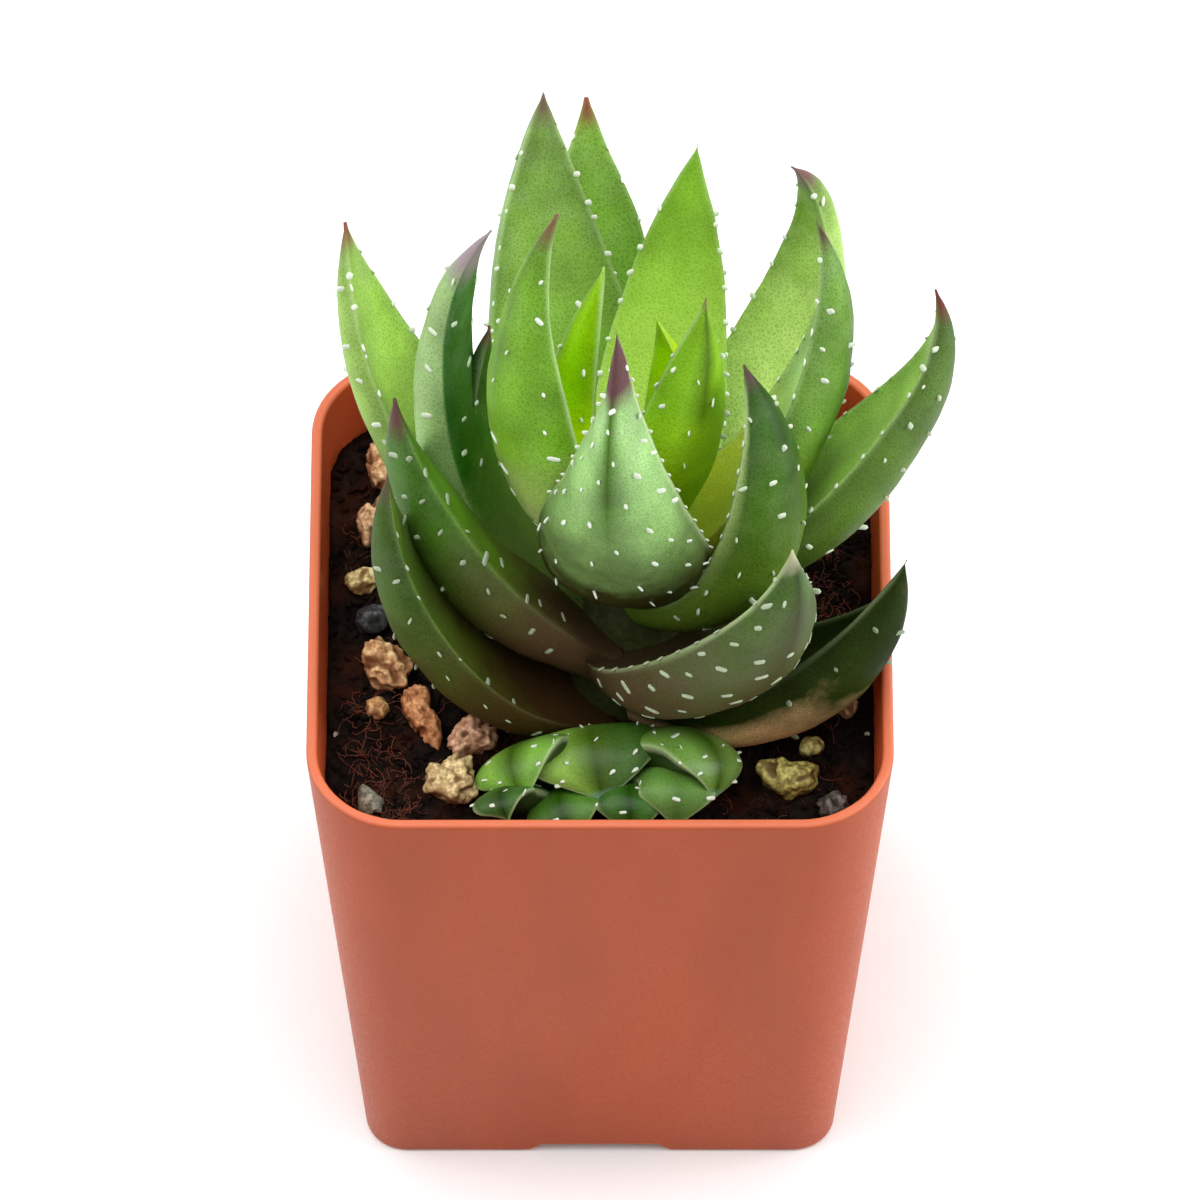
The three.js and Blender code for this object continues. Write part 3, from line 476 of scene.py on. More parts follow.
def point_data(mesh, label, values, kind="FLOAT", field="value"):
    """Stores one value for each point of a mesh."""
    mesh.attributes.new(label, kind, "POINT").data.foreach_set(field, values)


def seat_piece(piece, name):
    """Hides the frame's part that the piece stands for and fixes the piece to the body it rides on."""
    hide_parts(name)
    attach(piece, BODY)


# Kinds and settings that many nodes share. A colour mix takes its factor at 0 and its colours at
# 6 and 7; a map range takes its value, where it comes from and where it goes, in that order.
MATH, VECTOR, MIX = "ShaderNodeMath", "ShaderNodeVectorMath", "ShaderNodeMix"
RANGE, NOISE, SHIFT = "ShaderNodeMapRange", "ShaderNodeTexNoise", "ShaderNodeHueSaturation"
READ, FIELD = "ShaderNodeAttribute", "GeometryNodeInputNamedAttribute"
DRAW, PLACE = "FunctionNodeRandomValue", "GeometryNodeInstanceOnPoints"
MOVE, JOIN = "GeometryNodeSetPosition", "GeometryNodeJoinGeometry"
FINISH, FACE = "GeometryNodeSetMaterial", "FunctionNodeAlignRotationToVector"
PLUS, MINUS, TIMES = dict(operation="ADD"), dict(operation="SUBTRACT"), dict(operation="MULTIPLY")
TIMES_PLUS, SCALED = dict(operation="MULTIPLY_ADD"), dict(operation="SCALE")
OF_COLOURS, OF_VECTORS = dict(data_type="RGBA", out=2), dict(data_type="FLOAT_VECTOR")
OF_FLOATS = dict(data_type="FLOAT")


def node(tree, kind, inputs=(), out=0, **settings):
    """Adds a node with its settings and links, and hands back the output that is named. Inputs go
    by order or by key; each is a socket to link, a list of sockets to join or a value to set."""
    made = tree.nodes.new(kind)
    for key, value in settings.items():
        setattr(made, key, value)
    for key, value in inputs.items() if isinstance(inputs, dict) else enumerate(inputs):
        if isinstance(value, bpy.types.NodeSocket):
            tree.links.new(value, made.inputs[key])
        elif isinstance(value, list):
            for source in value:
                tree.links.new(source, made.inputs[key])
        else:
            made.inputs[key].default_value = value
    return made.outputs[out] if made.outputs else made


def rgba(colour, share=1):
    """A colour, darkened to a share of itself, as a socket takes it."""
    return (*(c * share for c in colour), 1.0)


def plain_mesh(piece):
    """Turns what the piece's modifiers make into its own mesh and removes them."""
    evaluated = piece.evaluated_get(bpy.context.evaluated_depsgraph_get())
    made = bpy.data.meshes.new_from_object(evaluated)
    piece.modifiers.clear()
    made.name = piece.name
    piece.data = made


def add_geometry_tree(piece, tree, values):
    """Puts a node tree on a piece and sets its inputs by their sockets' identifiers."""
    modifier = piece.modifiers.new(tree.name, "NODES")
    modifier.node_group = tree
    for item in tree.interface.items_tree:
        if item.in_out == "INPUT" and item.name in values:
            modifier[item.identifier] = values[item.name]


def new_geometry_tree(name, sockets):
    """A geometry tree with the named inputs, what adds nodes to it, and its inputs' sockets. An
    input is of the kind of the value that it starts from, or a material where there is none."""
    kinds = {int: "NodeSocketInt", float: "NodeSocketFloat", type(None): "NodeSocketMaterial"}
    tree = bpy.data.node_groups.new(name, "GeometryNodeTree")
    tree.interface.new_socket("Geometry", in_out="INPUT", socket_type="NodeSocketGeometry")
    for label, value in sockets.items():
        socket = tree.interface.new_socket(label, in_out="INPUT", socket_type=kinds[type(value)])
        if value is not None:
            socket.default_value = value
    tree.interface.new_socket("Geometry", in_out="OUTPUT", socket_type="NodeSocketGeometry")
    return tree, partial(node, tree), tree.nodes.new("NodeGroupInput").outputs


# ---------------- materials

def new_material(name):
    """A material without nodes, what adds nodes to it, and its Object coordinates."""
    material = bpy.data.materials.new(name)
    material.use_nodes = True
    material.node_tree.nodes.clear()
    add = partial(node, material.node_tree)
    return material, add, add("ShaderNodeTexCoord", out="Object")


def shaded(material, ground, layers, inputs, relief=None):
    """Lays colours over the ground, each where its mask says, and gives the material its shader.
    Relief is a height, the strength of its bump and its depth in millimetres."""
    add = partial(node, material.node_tree)
    for mask, colour in layers:
        ground = add(MIX, {0: mask, 6: ground, 7: colour}, **OF_COLOURS)
    inputs = {"Base Color": ground, **inputs}
    if relief:
        height, strength, depth = relief
        inputs["Normal"] = add("ShaderNodeBump", {
            "Height": height, "Strength": strength, "Distance": depth * MM})
    add("ShaderNodeOutputMaterial", (add("ShaderNodeBsdfPrincipled", inputs),))
    return material


def leaf_skin(name, gloss, wetness, sheen, net):
    """Succulent epidermis: fleshy, slightly translucent, a satin wax over a pale net of fine
    cells. The cells are about 0.15 mm on the plant; they are drawn 0.36 mm across to show."""
    settings = bpy.context.scene.haworthia_leaf
    material, add, place = new_material(name)
    skin, base, withered = (
        add(READ, attribute_name=label) for label in ("skin", "base", "withered"))
    keel, foot, bloom, margin, tip = (
        add(READ, out="Fac", attribute_name=label)
        for label in ("keel", "foot", "bloom", "margin", "tip"))
    blotch = add(NOISE, {"Vector": place, "Scale": 1 / (2.6 * MM), "Detail": 3.0})
    waver = add(NOISE, {"Vector": place, "Scale": 1 / (0.7 * MM), "Detail": 1.0}, out="Color")
    bent = add(VECTOR, (waver, (0.5 * MM,) * 3, place), **TIMES_PLUS)
    walls = add("ShaderNodeTexVoronoi", {"Vector": bent, "Scale": 1 / (0.36 * MM)},
                feature="DISTANCE_TO_EDGE")
    cells = add(RANGE, (walls, 0.0, 0.24, 1.0, 0.0))

    deep = add(SHIFT, {"Color": skin, "Saturation": 1.4, "Value": 0.24})
    drift = add(RANGE, (blotch, 0.3, 0.7, -0.09, 0.09))
    # The foot's colour is partly the leaf's own, pale or dry brown, and partly painted shade where the
    # feet lie among the other leaves.
    foot_colour_and_shade = add(RANGE, (add(MATH, (foot, drift), **PLUS), 0.08, 0.92))
    patchy = add(RANGE, (blotch, 0.38, 0.66, 0.35))
    film = add(MATH, (bloom, patchy), **TIMES)
    dry = add(RANGE, (add(MATH, (tip, drift), **PLUS), 0.2, 0.8))
    colour = skin
    for mask, over in ((keel, deep), (foot_colour_and_shade, base), (film, rgba(settings.bloom_colour))):
        colour = add(MIX, {0: mask, 6: colour, 7: over}, **OF_COLOURS)
    dark = add(SHIFT, {"Color": colour, "Saturation": 1.03, "Value": 1 - 0.7 * net})
    light = add(SHIFT, {"Color": colour, "Saturation": 1.0, "Value": 1 + 1.4 * net})
    return shaded(
        material, dark, ((cells, light), (margin, rgba(settings.margin_colour)), (dry, withered)), {
            "Roughness": add(RANGE, (cells, 0.0, 1.0, gloss, gloss + 0.1)), "IOR": 1.42,
            "Specular IOR Level": sheen, "Subsurface Weight": 0.1,
            "Subsurface Radius": (0.6, 1.0, 0.25), "Subsurface Scale": 1.0 * MM,
            "Coat Weight": wetness, "Coat Roughness": 0.25}, (cells, 0.3, 0.06))


def tubercle_wax(name, code):
    """Wart of the epidermis: bare wax, white on most leaves and greyer on the darker ones, dull and
    a little translucent."""
    material, add, place = new_material(name)
    grains = add(NOISE, {"Vector": place, "Scale": 1 / (0.5 * MM)})
    return shaded(material, rgba(linear(code), 0.75), ((grains, rgba(linear(code))),), {
        "Roughness": 0.55, "Subsurface Weight": 0.1, "Subsurface Scale": 0.3 * MM})


def moulded_polypropylene():
    """Injection-moulded polypropylene: terracotta pigment, satin, with a fine spark-eroded grain
    of about 0.25 mm that breaks up the highlights, and faint flow marks down the walls. The grain
    is drawn 0.35 mm wide to show. The inner walls are painted redder and brighter, a painted glow
    for light shining through the thin wall, and the rim's top edge is painted paler, a painted
    highlight."""
    settings = bpy.context.scene.haworthia_pot
    material, add, place = new_material("moulded_polypropylene")
    darker = rgba(settings.plastic_colour, 0.84)
    stretched = add("ShaderNodeMapping", {"Vector": place, "Scale": (1, 1, 0.3)})
    flow = add(NOISE, {"Vector": stretched, "Scale": 1 / (9.0 * MM)})
    speck = add(NOISE, {"Vector": place, "Scale": 1 / (0.35 * MM), "Roughness": 0.6})
    marks = add(RANGE, (flow, 0.35, 0.65))
    specks = add(RANGE, (speck, 0.35, 0.65, 0.0, 0.5))
    # Painted glow: where the normal faces the pot's axis, the inner walls take a redder, brighter colour
    # for light shining through the thin wall.
    normal = add("ShaderNodeNewGeometry", out="Normal")
    level = add(VECTOR, (normal, (1, 1, 0)), **TIMES)
    outward = add(VECTOR, (level, place), out="Value", operation="DOT_PRODUCT")
    within = add(RANGE, (outward, -5 * MM, 0.0, 1.0, 0.0))
    # Painted highlight: the top 0.3 mm of the rim is painted paler.
    height = add("ShaderNodeSeparateXYZ", (place,), out="Z")
    edge = add(RANGE, (height, (POT_HEIGHT - 0.32) * MM, (POT_HEIGHT - 0.06) * MM, 0.0, 0.65))
    return shaded(
        material, darker, (
            (marks, rgba(settings.plastic_colour)), (specks, darker),
            (within, rgba(settings.painted_glow_colour)), (edge, rgba(settings.painted_rim_highlight))), {
            "Roughness": add(RANGE, (speck, 0.3, 0.7, 0.36, 0.5)), "IOR": 1.49,
            "Specular IOR Level": 0.27, "Subsurface Weight": 0.25,
            "Subsurface Radius": (1.0, 0.35, 0.15), "Subsurface Scale": 1.5 * MM},
        (speck, 0.35, 0.04))


def damp_peat():
    """Peat and bark potting mix, damp: almost black, dull, with glints where water sits."""
    settings = bpy.context.scene.haworthia_soil
    material, add, place = new_material("damp_peat")
    lumps = add(NOISE, {
        "Vector": place, "Scale": 1 / (1.4 * MM), "Detail": 4.0, "Roughness": 0.65})
    patches = add(NOISE, {"Vector": place, "Scale": 1 / (5.0 * MM)})
    tops = add(RANGE, (lumps, 0.38, 0.62))
    fibrous = add(RANGE, (patches, 0.5, 0.72, 0.0, 0.3))
    return shaded(
        material, rgba(settings.peat_colour, 0.25),
        ((tops, rgba(settings.peat_colour)), (fibrous, rgba(settings.fibre_colour, 0.45))),
        {"Roughness": add(RANGE, (lumps, 0.3, 0.7, 0.95, 0.7)), "Specular IOR Level": 0.12},
        (lumps, 0.8, 0.3))


def streaked(name, colour, dark_share, size_mm, roughness):
    """Dry plant matter or grit: dull, with darker streaks or dust in its hollows."""
    material, add, place = new_material(name)
    noisy = add(NOISE, {
        "Vector": place, "Scale": 1 / (size_mm * MM), "Detail": 3.0, "Roughness": 0.6})
    streaks = add(RANGE, (noisy, 0.35, 0.65))
    return shaded(material, rgba(colour, dark_share), ((streaks, rgba(colour)),),
                  {"Roughness": roughness}, (noisy, 0.5, 0.15))


def rough_stone(name, code):
    """Pumice or lava grit: weathered to tan or slate and browner in its pits, with painted shade on
    its underside and in its hollows and a painted highlight on its upward-facing knobs."""
    material, add, place = new_material(name)
    skin = linear(code)
    # pale is a painted highlight colour for the upward-facing knobs; brown is the colour of the pits and
    # the painted shade beneath the stone and in its hollows.
    pale = rgba([min(1, c * 1.6 + 0.08) for c in skin])
    brown = rgba([skin[0] * 0.3, skin[1] * 0.2, skin[2] * 0.13])
    pits = add(NOISE, {
        "Vector": place, "Scale": 1 / (0.7 * MM), "Detail": 4.0, "Roughness": 0.65})
    hollow = add(READ, out="Fac", attribute_name="hollow")
    up = add("ShaderNodeSeparateXYZ", (add("ShaderNodeNewGeometry", out="Normal"),), out="Z")
    outside_pits = add(RANGE, (pits, 0.36, 0.52, 0.25))
    knob_highlight = add(MATH, (add(RANGE, (pits, 0.5, 0.62)), add(RANGE, (up, 0.3, 0.9))), **TIMES)
    underside_shade = add(RANGE, (up, -0.1, 0.6, 0.9, 0.0))
    shade_below_and_in_hollows = add(MATH, (underside_shade, hollow), operation="MAXIMUM")
    return shaded(material, brown, ((outside_pits, rgba(skin)), (knob_highlight, pale), (shade_below_and_in_hollows, brown)),
                  {"Roughness": add(RANGE, (pits, 0.3, 0.7, 0.85, 0.5))}, (pits, 0.6, 0.2))


def material_once(make, name, *values):
    """The material of that name, made on first use."""
    return bpy.data.materials.get(name) or make(name, *values)


# ---------------- leaf form

def plant_frame(base, lean_back, lean_side):
    """Where a plant stands and how it leans, as a matrix from its own terms to the frame."""
    turn = (Matrix.Rotation(math.radians(lean_side), 4, "Y")
            @ Matrix.Rotation(-math.radians(lean_back), 4, "X"))
    return Matrix.Translation(base) @ turn


def leaf_spine(leaf, count):
    """Places along a leaf's middle line: share, position, side and inner-face normal."""
    def lean(t):
        bent = leaf["lean"] + (leaf["end"] - leaf["lean"]) * (1 - (1 - t) ** leaf["curl"])
        return math.radians(bent + leaf["hook"] * clamp((t - 0.65) / 0.35) ** 2)

    def heading(t):
        return math.radians(leaf["azimuth"] + leaf["sway"] * t * t)

    def direction(t):
        return around(heading(t), math.sin(lean(t)), math.cos(lean(t)))

    place = around(math.radians(leaf["azimuth"]), LEAF_START, leaf["height"])
    spine = []
    for i in range(count):
        t = i / (count - 1)
        if i:
            place = place + direction(t - 0.5 / (count - 1)) * leaf["length"] / (count - 1)
        along = direction(t)
        turn = math.radians(leaf["roll"]) * lerp(0.4, 1, t)
        level = Vector((-math.sin(heading(t)), math.cos(heading(t)), 0))
        side = Matrix.Rotation(-turn, 3, along) @ level
        spine.append((t, place, side, along.cross(side)))
    return spine


def path_spine(leaf, count):
    """The same places for a leaf whose middle line is given by four control points."""
    a, b, c, d = (Vector(point) for point in leaf["path"])
    spine = []
    for i in range(count):
        t = i / (count - 1)
        u = 1 - t
        place = a * u ** 3 + b * (3 * u * u * t) + c * (3 * u * t * t) + d * t ** 3
        along = ((b - a) * (u * u) + (c - b) * (2 * u * t) + (d - c) * (t * t)).normalized()
        side = Vector(leaf["side"])
        side = (side - along * side.dot(along)).normalized()
        spine.append((t, place, side, along.cross(side)))
    return spine


def section_angle(turn):
    """The angle round a leaf's section for a turn from 0 to 1, with more points at the margins."""
    return 2 * math.pi * turn - 0.35 * math.sin(4 * math.pi * turn)


def leaf_sections(leaf, turned, rings, sides):
    """Rings of points round a leaf, in the frame, and the direction across it at each ring."""
    width_along = (leaf["foot"], 1, *leaf["shape"], 0)
    sections, across = [], []
    spine = path_spine(leaf, rings) if "path" in leaf else leaf_spine(leaf, rings)
    for t, place, side, inward in spine:
        width = max(leaf["width"] * curve_at(width_along, t), LEAST_WIDTH)
        depth = max(leaf["body"] * leaf["width"] * curve_at(THICKNESS_ALONG, t), LEAST_WIDTH)
        closing = clamp((t - 0.75) / 0.25)
        ridge = leaf["ridge"] * smooth(t, 0.3, 0.8)
        ring = []
        for j in range(sides):
            angle = section_angle(j / sides)
            reach = math.copysign(abs(math.cos(angle)) ** MARGIN_ROUND, math.cos(angle))
            swell = abs(math.sin(angle))
            if j in (0, sides // 2):
                out = 0
            elif math.sin(angle) > 0:
                out = 0.25 * closing * swell - leaf["dish"] * swell ** 1.3 * (1 - closing)
            else:
                out = -lerp(swell ** 0.9, 1 - abs(reach), ridge)
            point = place + side * (reach * width / 2) + inward * (out * depth)
            ring.append(turned @ point)
        sections.append(ring)
        across.append((turned.to_3x3() @ side).normalized())
    return sections, across


def margin_distances(ring):
    """How far each point of a section lies from its nearer margin, along the skin."""
    sides = len(ring)
    half = sides // 2
    steps = [(b - a).length for a, b in zip(ring, ring[1:] + ring[:1])]
    walk = []
    for j in range(sides):
        start = j // half * half
        walk.append(min(sum(steps[start:j]), sum(steps[j:start + half])))
    return walk


def leaf_object(name, leaf, turned, seed):
    """A leaf's skin with the masks that its finish reads and the map that its tubercles follow."""
    settings = bpy.context.scene.haworthia_leaf
    rings, sides = settings.rings, settings.sides
    sections, across = leaf_sections(leaf, turned, rings, sides)
    wave = Vector((seed * 7.3, seed * 3.1, seed * 1.7))
    points = []
    for ring in sections:
        middle = sum(ring, Vector()) / sides
        for point in ring:
            swell = sum(noise.noise(point * pitch + wave) * size for pitch, size in LEAF_SWELLS)
            points.append(point + (point - middle).normalized() * swell)
    piece = mesh_piece(name + "_fine", points, loft(sections)[1])
    mesh = piece.data

    masks = {label: [] for label in ("foot", "tip", "margin", "keel", "bloom", "breadth")}
    skins, sides_across = [], []
    right, inner, left = (Vector(linear(code)) for code in (
        leaf["skin"], leaf["inner"], leaf["left"] or leaf["skin"]))
    brown_from, crest, seam, dry_from = leaf["base_from"], leaf["crest"], leaf["seam"], leaf["tip"]
    for i, ring in enumerate(sections):
        t = i / (rings - 1)
        breadth = (ring[0] - ring[sides // 2]).length / leaf["width"]
        for j, edge in enumerate(margin_distances(ring)):
            turn = j / sides
            off_keel = abs(section_angle(turn) / math.pi - 1.5) * 2
            stripe = (1 - smooth(off_keel, *STRIPE_ROUND)) * smooth(t, *STRIPE_ALONG)
            values = (
                (1 - smooth(t, 0.1, leaf["reach"] * 1.6))
                * smooth(turn, *(brown_from + step for step in FOOT_FADE)),
                smooth(t, *(dry_from + step for step in TIP_FADE))
                * (1 - leaf["frayed"] * (1 - smooth(edge, *FRAYED_EDGE))),
                leaf["edge"] * (1 - smooth(edge, *MARGIN_LINE)) * smooth(t, 0.1, 0.3)
                * (1 - 0.6 * smooth(t, 0.9, 1)),
                stripe * leaf["keel"] * (1 - smooth(t, *STRIPE_END)),
                leaf["bloom"] * smooth(t, *BLOOM_ALONG) * (1 - stripe * leaf["keel"]),
                breadth)
            for label, value in zip(masks, values):
                masks[label].append(value)
            outer = left.lerp(right, smooth(turn, crest - CREST_BLEND, crest + CREST_BLEND))
            within = (1 - smooth(turn, seam - SEAM_BLEND, seam + SEAM_BLEND) if turn < 0.75
                      else smooth(turn, 0.97, 1.01))
            # Painted shade along the margins, darker towards the tip, and a random mottle of tone.
            shade_and_mottle = 1 - 0.2 * (1 - smooth(edge, *MARGIN_SHADE)) * smooth(t, 0.1, 0.4)
            shade_and_mottle *= 1 - 0.12 * smooth(t, 0.6, 0.95)
            shade_and_mottle *= 1 + MOTTLE[1] * noise.noise(points[i * sides + j] * MOTTLE[0] + wave)
            skins.extend((*(outer.lerp(inner, within) * shade_and_mottle), 1))
            sides_across.extend(across[i])
    for label, values in masks.items():
        point_data(mesh, label, values)
    count = rings * sides
    for label, colours in (("skin", skins), ("base", rgba(linear(leaf["base"])) * count),
                           ("withered", rgba(linear(leaf["withered"])) * count)):
        point_data(mesh, label, colours, "FLOAT_COLOR", "color")
    point_data(mesh, "across", sides_across, "FLOAT_VECTOR", "vector")
    uv = mesh.uv_layers.new(name="leaf_map")
    for polygon in mesh.polygons:
        wraps = max(v % sides for v in polygon.vertices) == sides - 1
        for loop in polygon.loop_indices:
            i, j = divmod(mesh.loops[loop].vertex_index, sides)
            if len(polygon.vertices) > 4:
                uv.data[loop].uv = (2.0, 2.0 + 0.01 * j)  # a cap, off the map
            else:
                uv.data[loop].uv = ((j + sides * (wraps and j == 0)) / sides, i / (rings - 1))
    return piece


# ---------------- tubercles, by Geometry Nodes

def tubercle_rows():
    """Geometry group: rows of tubercles on one stretch of a leaf's skin."""
    tree, add, given = new_geometry_tree("tubercle_rows", {
        "Rows": 8, "Across": 3, "From": 0.1, "To": 0.9, "Turn from": 0.5, "Turn to": 1.0,
        "Scatter": 0.4, "Stagger": 0.0, "Keep": 0.9, "Length": 1.0 * MM, "Width": 0.5 * MM,
        "Height": 0.3 * MM, "Seed": 1})
    drawn = {}
    for offset, (label, low, high) in enumerate((
            ("row", -0.5, 0.5), ("turn", -0.5, 0.5), ("chance", 0.0, 1.0), ("wander", -0.3, 0.3),
            ("growth", 0.75, 1.2), ("stretch", 0.75, 1.3)), start=1):
        seed = add("FunctionNodeIntegerMath", (given["Seed"], offset), **PLUS)
        drawn[label] = add(DRAW, {"Seed": seed, 2: low, 3: high}, out=1, **OF_FLOATS)

    # A point for each tubercle, numbered by row and column.
    seats = add("GeometryNodePoints", (add(MATH, (given["Rows"], given["Across"]), **TIMES),))
    index = add("GeometryNodeInputIndex")
    row = add(MATH, (index, given["Across"]), operation="DIVIDE")
    row = add(MATH, (row,), operation="FLOOR")
    column = add(MATH, (index, given["Across"]), operation="MODULO")
    column = add(MATH, (column, 0.5), **PLUS)

    # Where it sits: a share of the stretch along the leaf and round it.
    row_place = add(MATH, (drawn["row"], given["Scatter"], row), **TIMES_PLUS)
    row_place = add(MATH, (row_place, 0.5), **PLUS)
    row_share = add(MATH, (row_place, given["Rows"]), operation="DIVIDE")
    odd = add(MATH, (add(MATH, (row, 2.0), operation="MODULO"), 0.5), **MINUS)
    column = add(MATH, (odd, given["Stagger"], column), **TIMES_PLUS)
    column = add(MATH, (drawn["turn"], given["Scatter"], column), **TIMES_PLUS)
    turn_share = add(MATH, (column, given["Across"]), operation="DIVIDE")
    along = add(MIX, {0: row_share, 2: given["From"], 3: given["To"]}, clamp_factor=False,
                **OF_FLOATS)
    around = add(MIX, {0: turn_share, 2: given["Turn from"], 3: given["Turn to"]},
                 clamp_factor=True, **OF_FLOATS)
    where = add("ShaderNodeCombineXYZ", (around, along))

    # What the leaf's skin is like there, read through its map.
    leaf_map, across = (add(FIELD, (label,), **OF_VECTORS) for label in ("leaf_map", "across"))
    widths = add(FIELD, ("breadth",), **OF_FLOATS)
    position, normals = add("GeometryNodeInputPosition"), add("GeometryNodeInputNormal")
    spot, normal, side, breadth = (
        add("GeometryNodeSampleUVSurface", {
            "Mesh": given["Geometry"], "Value": value, "Source UV Map": leaf_map,
            "Sample UV": where}, **kind)
        for value, kind in ((position, OF_VECTORS), (normals, OF_VECTORS), (across, OF_VECTORS),
                            (widths, OF_FLOATS)))

    # Fewer are kept where the leaf narrows, and none where the map has no place for them.
    chance = add(MATH, (given["Keep"], add(RANGE, (breadth, 0.0, 0.55, 0.3))), **TIMES)
    lucky = add("FunctionNodeCompare", (drawn["chance"], chance), operation="LESS_THAN",
                **OF_FLOATS)
    kept = add("FunctionNodeBooleanMath", (lucky, spot.node.outputs["Is Valid"]), operation="AND")
    placed = add(MOVE, {"Geometry": seats, "Position": spot})
    chosen = add("GeometryNodeSeparateGeometry", {"Geometry": placed, "Selection": kept},
                 domain="POINT")

    # Each stands on the skin, long across the leaf, and turned a little out of line.
    upright = add(FACE, {"Vector": normal}, axis="Z")
    facing = add(FACE, {"Rotation": upright, "Vector": side}, axis="X", pivot_axis="Z")
    twist = add("FunctionNodeAxisAngleToRotation", {"Axis": (0, 0, 1), "Angle": drawn["wander"]})
    turned = add("FunctionNodeRotateRotation", {"Rotation": facing, "Rotate By": twist},
                 rotation_space="LOCAL")
    length = add(MATH, (given["Length"], drawn["stretch"]), **TIMES)
    shape = add("ShaderNodeCombineXYZ", (length, given["Width"], given["Height"]))
    size = add(VECTOR, {0: shape, "Scale": drawn["growth"]}, **SCALED)

    # The tubercle itself: a small block drawn most of the way to a ball.
    block = add("GeometryNodeMeshCube", {"Vertices X": 4, "Vertices Y": 3, "Vertices Z": 3})
    on_ball = add(VECTOR, (position,), operation="NORMALIZE")
    on_ball = add(VECTOR, {0: on_ball, "Scale": 0.5}, **SCALED)
    rounded = add(MIX, {0: 0.72, 4: position, 5: on_ball}, out=1, data_type="VECTOR")
    ball = add(MOVE, {"Geometry": block, "Position": rounded})
    warts = add(PLACE, {"Points": chosen, "Instance": ball, "Rotation": turned, "Scale": size})
    add("NodeGroupOutput", (warts,))
    return tree


def tubercled_leaf_tree():
    """Geometry tree: a leaf's skin with tubercles on both faces and teeth on both margins."""
    tree, add, given = new_geometry_tree("tubercled_leaf", {
        "Outer rows": 8, "Outer across": 3, "Stagger": 0.0, "Inner rows": 0, "Inner across": 2,
        "Inner from": 0.0, "Inner to": 0.5, "Teeth": 10, "Near teeth": 10, "Tooth side": 0.0,
        "Length": 1.0 * MM, "Width": 0.5 * MM, "Height": 0.3 * MM, "Seed": 1, "Skin": None,
        "Wax": None})
    size = {label: given[label] for label in ("Length", "Width", "Height")}
    on_face = {**size, "Keep": 0.92}
    tooth = {"Length": add(MATH, (given["Length"], 0.55), **TIMES), "Width": given["Width"],
             "Height": add(MATH, (given["Height"], 0.7), **TIMES), "Across": 1, "From": 0.22,
             "To": 0.95, "Scatter": 0.45, "Keep": 1.0}
    inboard = add(MATH, (given["Tooth side"], 0.03), **TIMES)
    far_margin = add(MATH, (0.5, inboard), **MINUS)
    stretches = (
        {"Rows": given["Outer rows"], "Across": given["Outer across"], "From": 0.16, "To": 0.9,
         "Turn from": 0.56, "Turn to": 0.94, "Stagger": given["Stagger"], **on_face},
        {"Rows": given["Inner rows"], "Across": given["Inner across"], "From": 0.2, "To": 0.93,
         "Turn from": given["Inner from"], "Turn to": given["Inner to"], **on_face},
        {"Rows": given["Near teeth"], "Turn from": 0.001, "Turn to": inboard, **tooth},
        {"Rows": given["Teeth"], "Turn from": far_margin, "Turn to": 0.499, **tooth},
    )
    rows = tubercle_rows()
    warts = []
    for number, stretch in enumerate(stretches):
        seed = add("FunctionNodeIntegerMath", (given["Seed"], 20 * number), **PLUS)
        warts.append(add("GeometryNodeGroup", {
            "Geometry": given["Geometry"], "Seed": seed, **stretch}, node_tree=rows))
    real = add("GeometryNodeRealizeInstances", (add(JOIN, (warts,)),))
    soft = add("GeometryNodeSetShadeSmooth", (real,))
    waxed = add(FINISH, {"Geometry": soft, "Material": given["Wax"]})
    skinned = add(FINISH, {"Geometry": given["Geometry"], "Material": given["Skin"]})
    add("NodeGroupOutput", (add(JOIN, ([waxed, skinned],)),))
    return tree


def make_leaves(leaves, look, turned, seed, spot_scale):
    """Every leaf of a rosette, each as the piece that stands for its node."""
    settings = bpy.context.scene.haworthia_leaf
    tree = bpy.data.node_groups.get("tubercled_leaf") or tubercled_leaf_tree()
    for index, (name, form) in enumerate(leaves.items()):
        leaf = {**LEAF_LOOK, **look, **form}
        slot = leaf["slot"]
        piece = leaf_object(name, leaf, turned, seed + index)
        add_geometry_tree(piece, tree, {
            "Outer rows": leaf["rows"], "Outer across": leaf["across"],
            "Stagger": leaf["stagger"],
            "Inner rows": leaf["inner_rows"], "Inner across": leaf["inner_across"],
            "Inner from": leaf["inner_turn"][0], "Inner to": leaf["inner_turn"][1],
            "Teeth": leaf["teeth"], "Near teeth": leaf["teeth"] * leaf["teeth_near"],
            "Tooth side": leaf["tooth_in"],
            "Length": settings.spot_length * spot_scale,
            "Width": settings.spot_width * spot_scale,
            "Height": settings.spot_height * spot_scale, "Seed": seed + SEED_STEP * index,
            "Skin": material_once(leaf_skin, slot + "_epidermis", *SKIN_FINISH[slot]),
            "Wax": material_once(tubercle_wax, "tubercle_wax_" + leaf["wax"], leaf["wax"]),
        })
        plain_mesh(piece)
        seat_piece(piece, name)


class HAWORTHIA_OT_rosette(bpy.types.Operator):
    """The leaves of the main rosette, with their tubercles."""
    bl_idname = "haworthia.rosette"
    bl_label = "Rosette leaves"

    def execute(self, context):
        make_leaves(ROSETTE, {}, plant_frame(*PLANT), ROSETTE_SEED, 1.0)
        return {"FINISHED"}


class HAWORTHIA_OT_pup(bpy.types.Operator):
    """The curled, windowed leaves of the pup at the front of the pot."""
    bl_idname = "haworthia.pup"
    bl_label = "Pup leaves"

    def execute(self, context):
        make_leaves(PUP, PUP_LOOK, Matrix(), PUP_SEED, PUP_SPOT_SCALE)
        return {"FINISHED"}


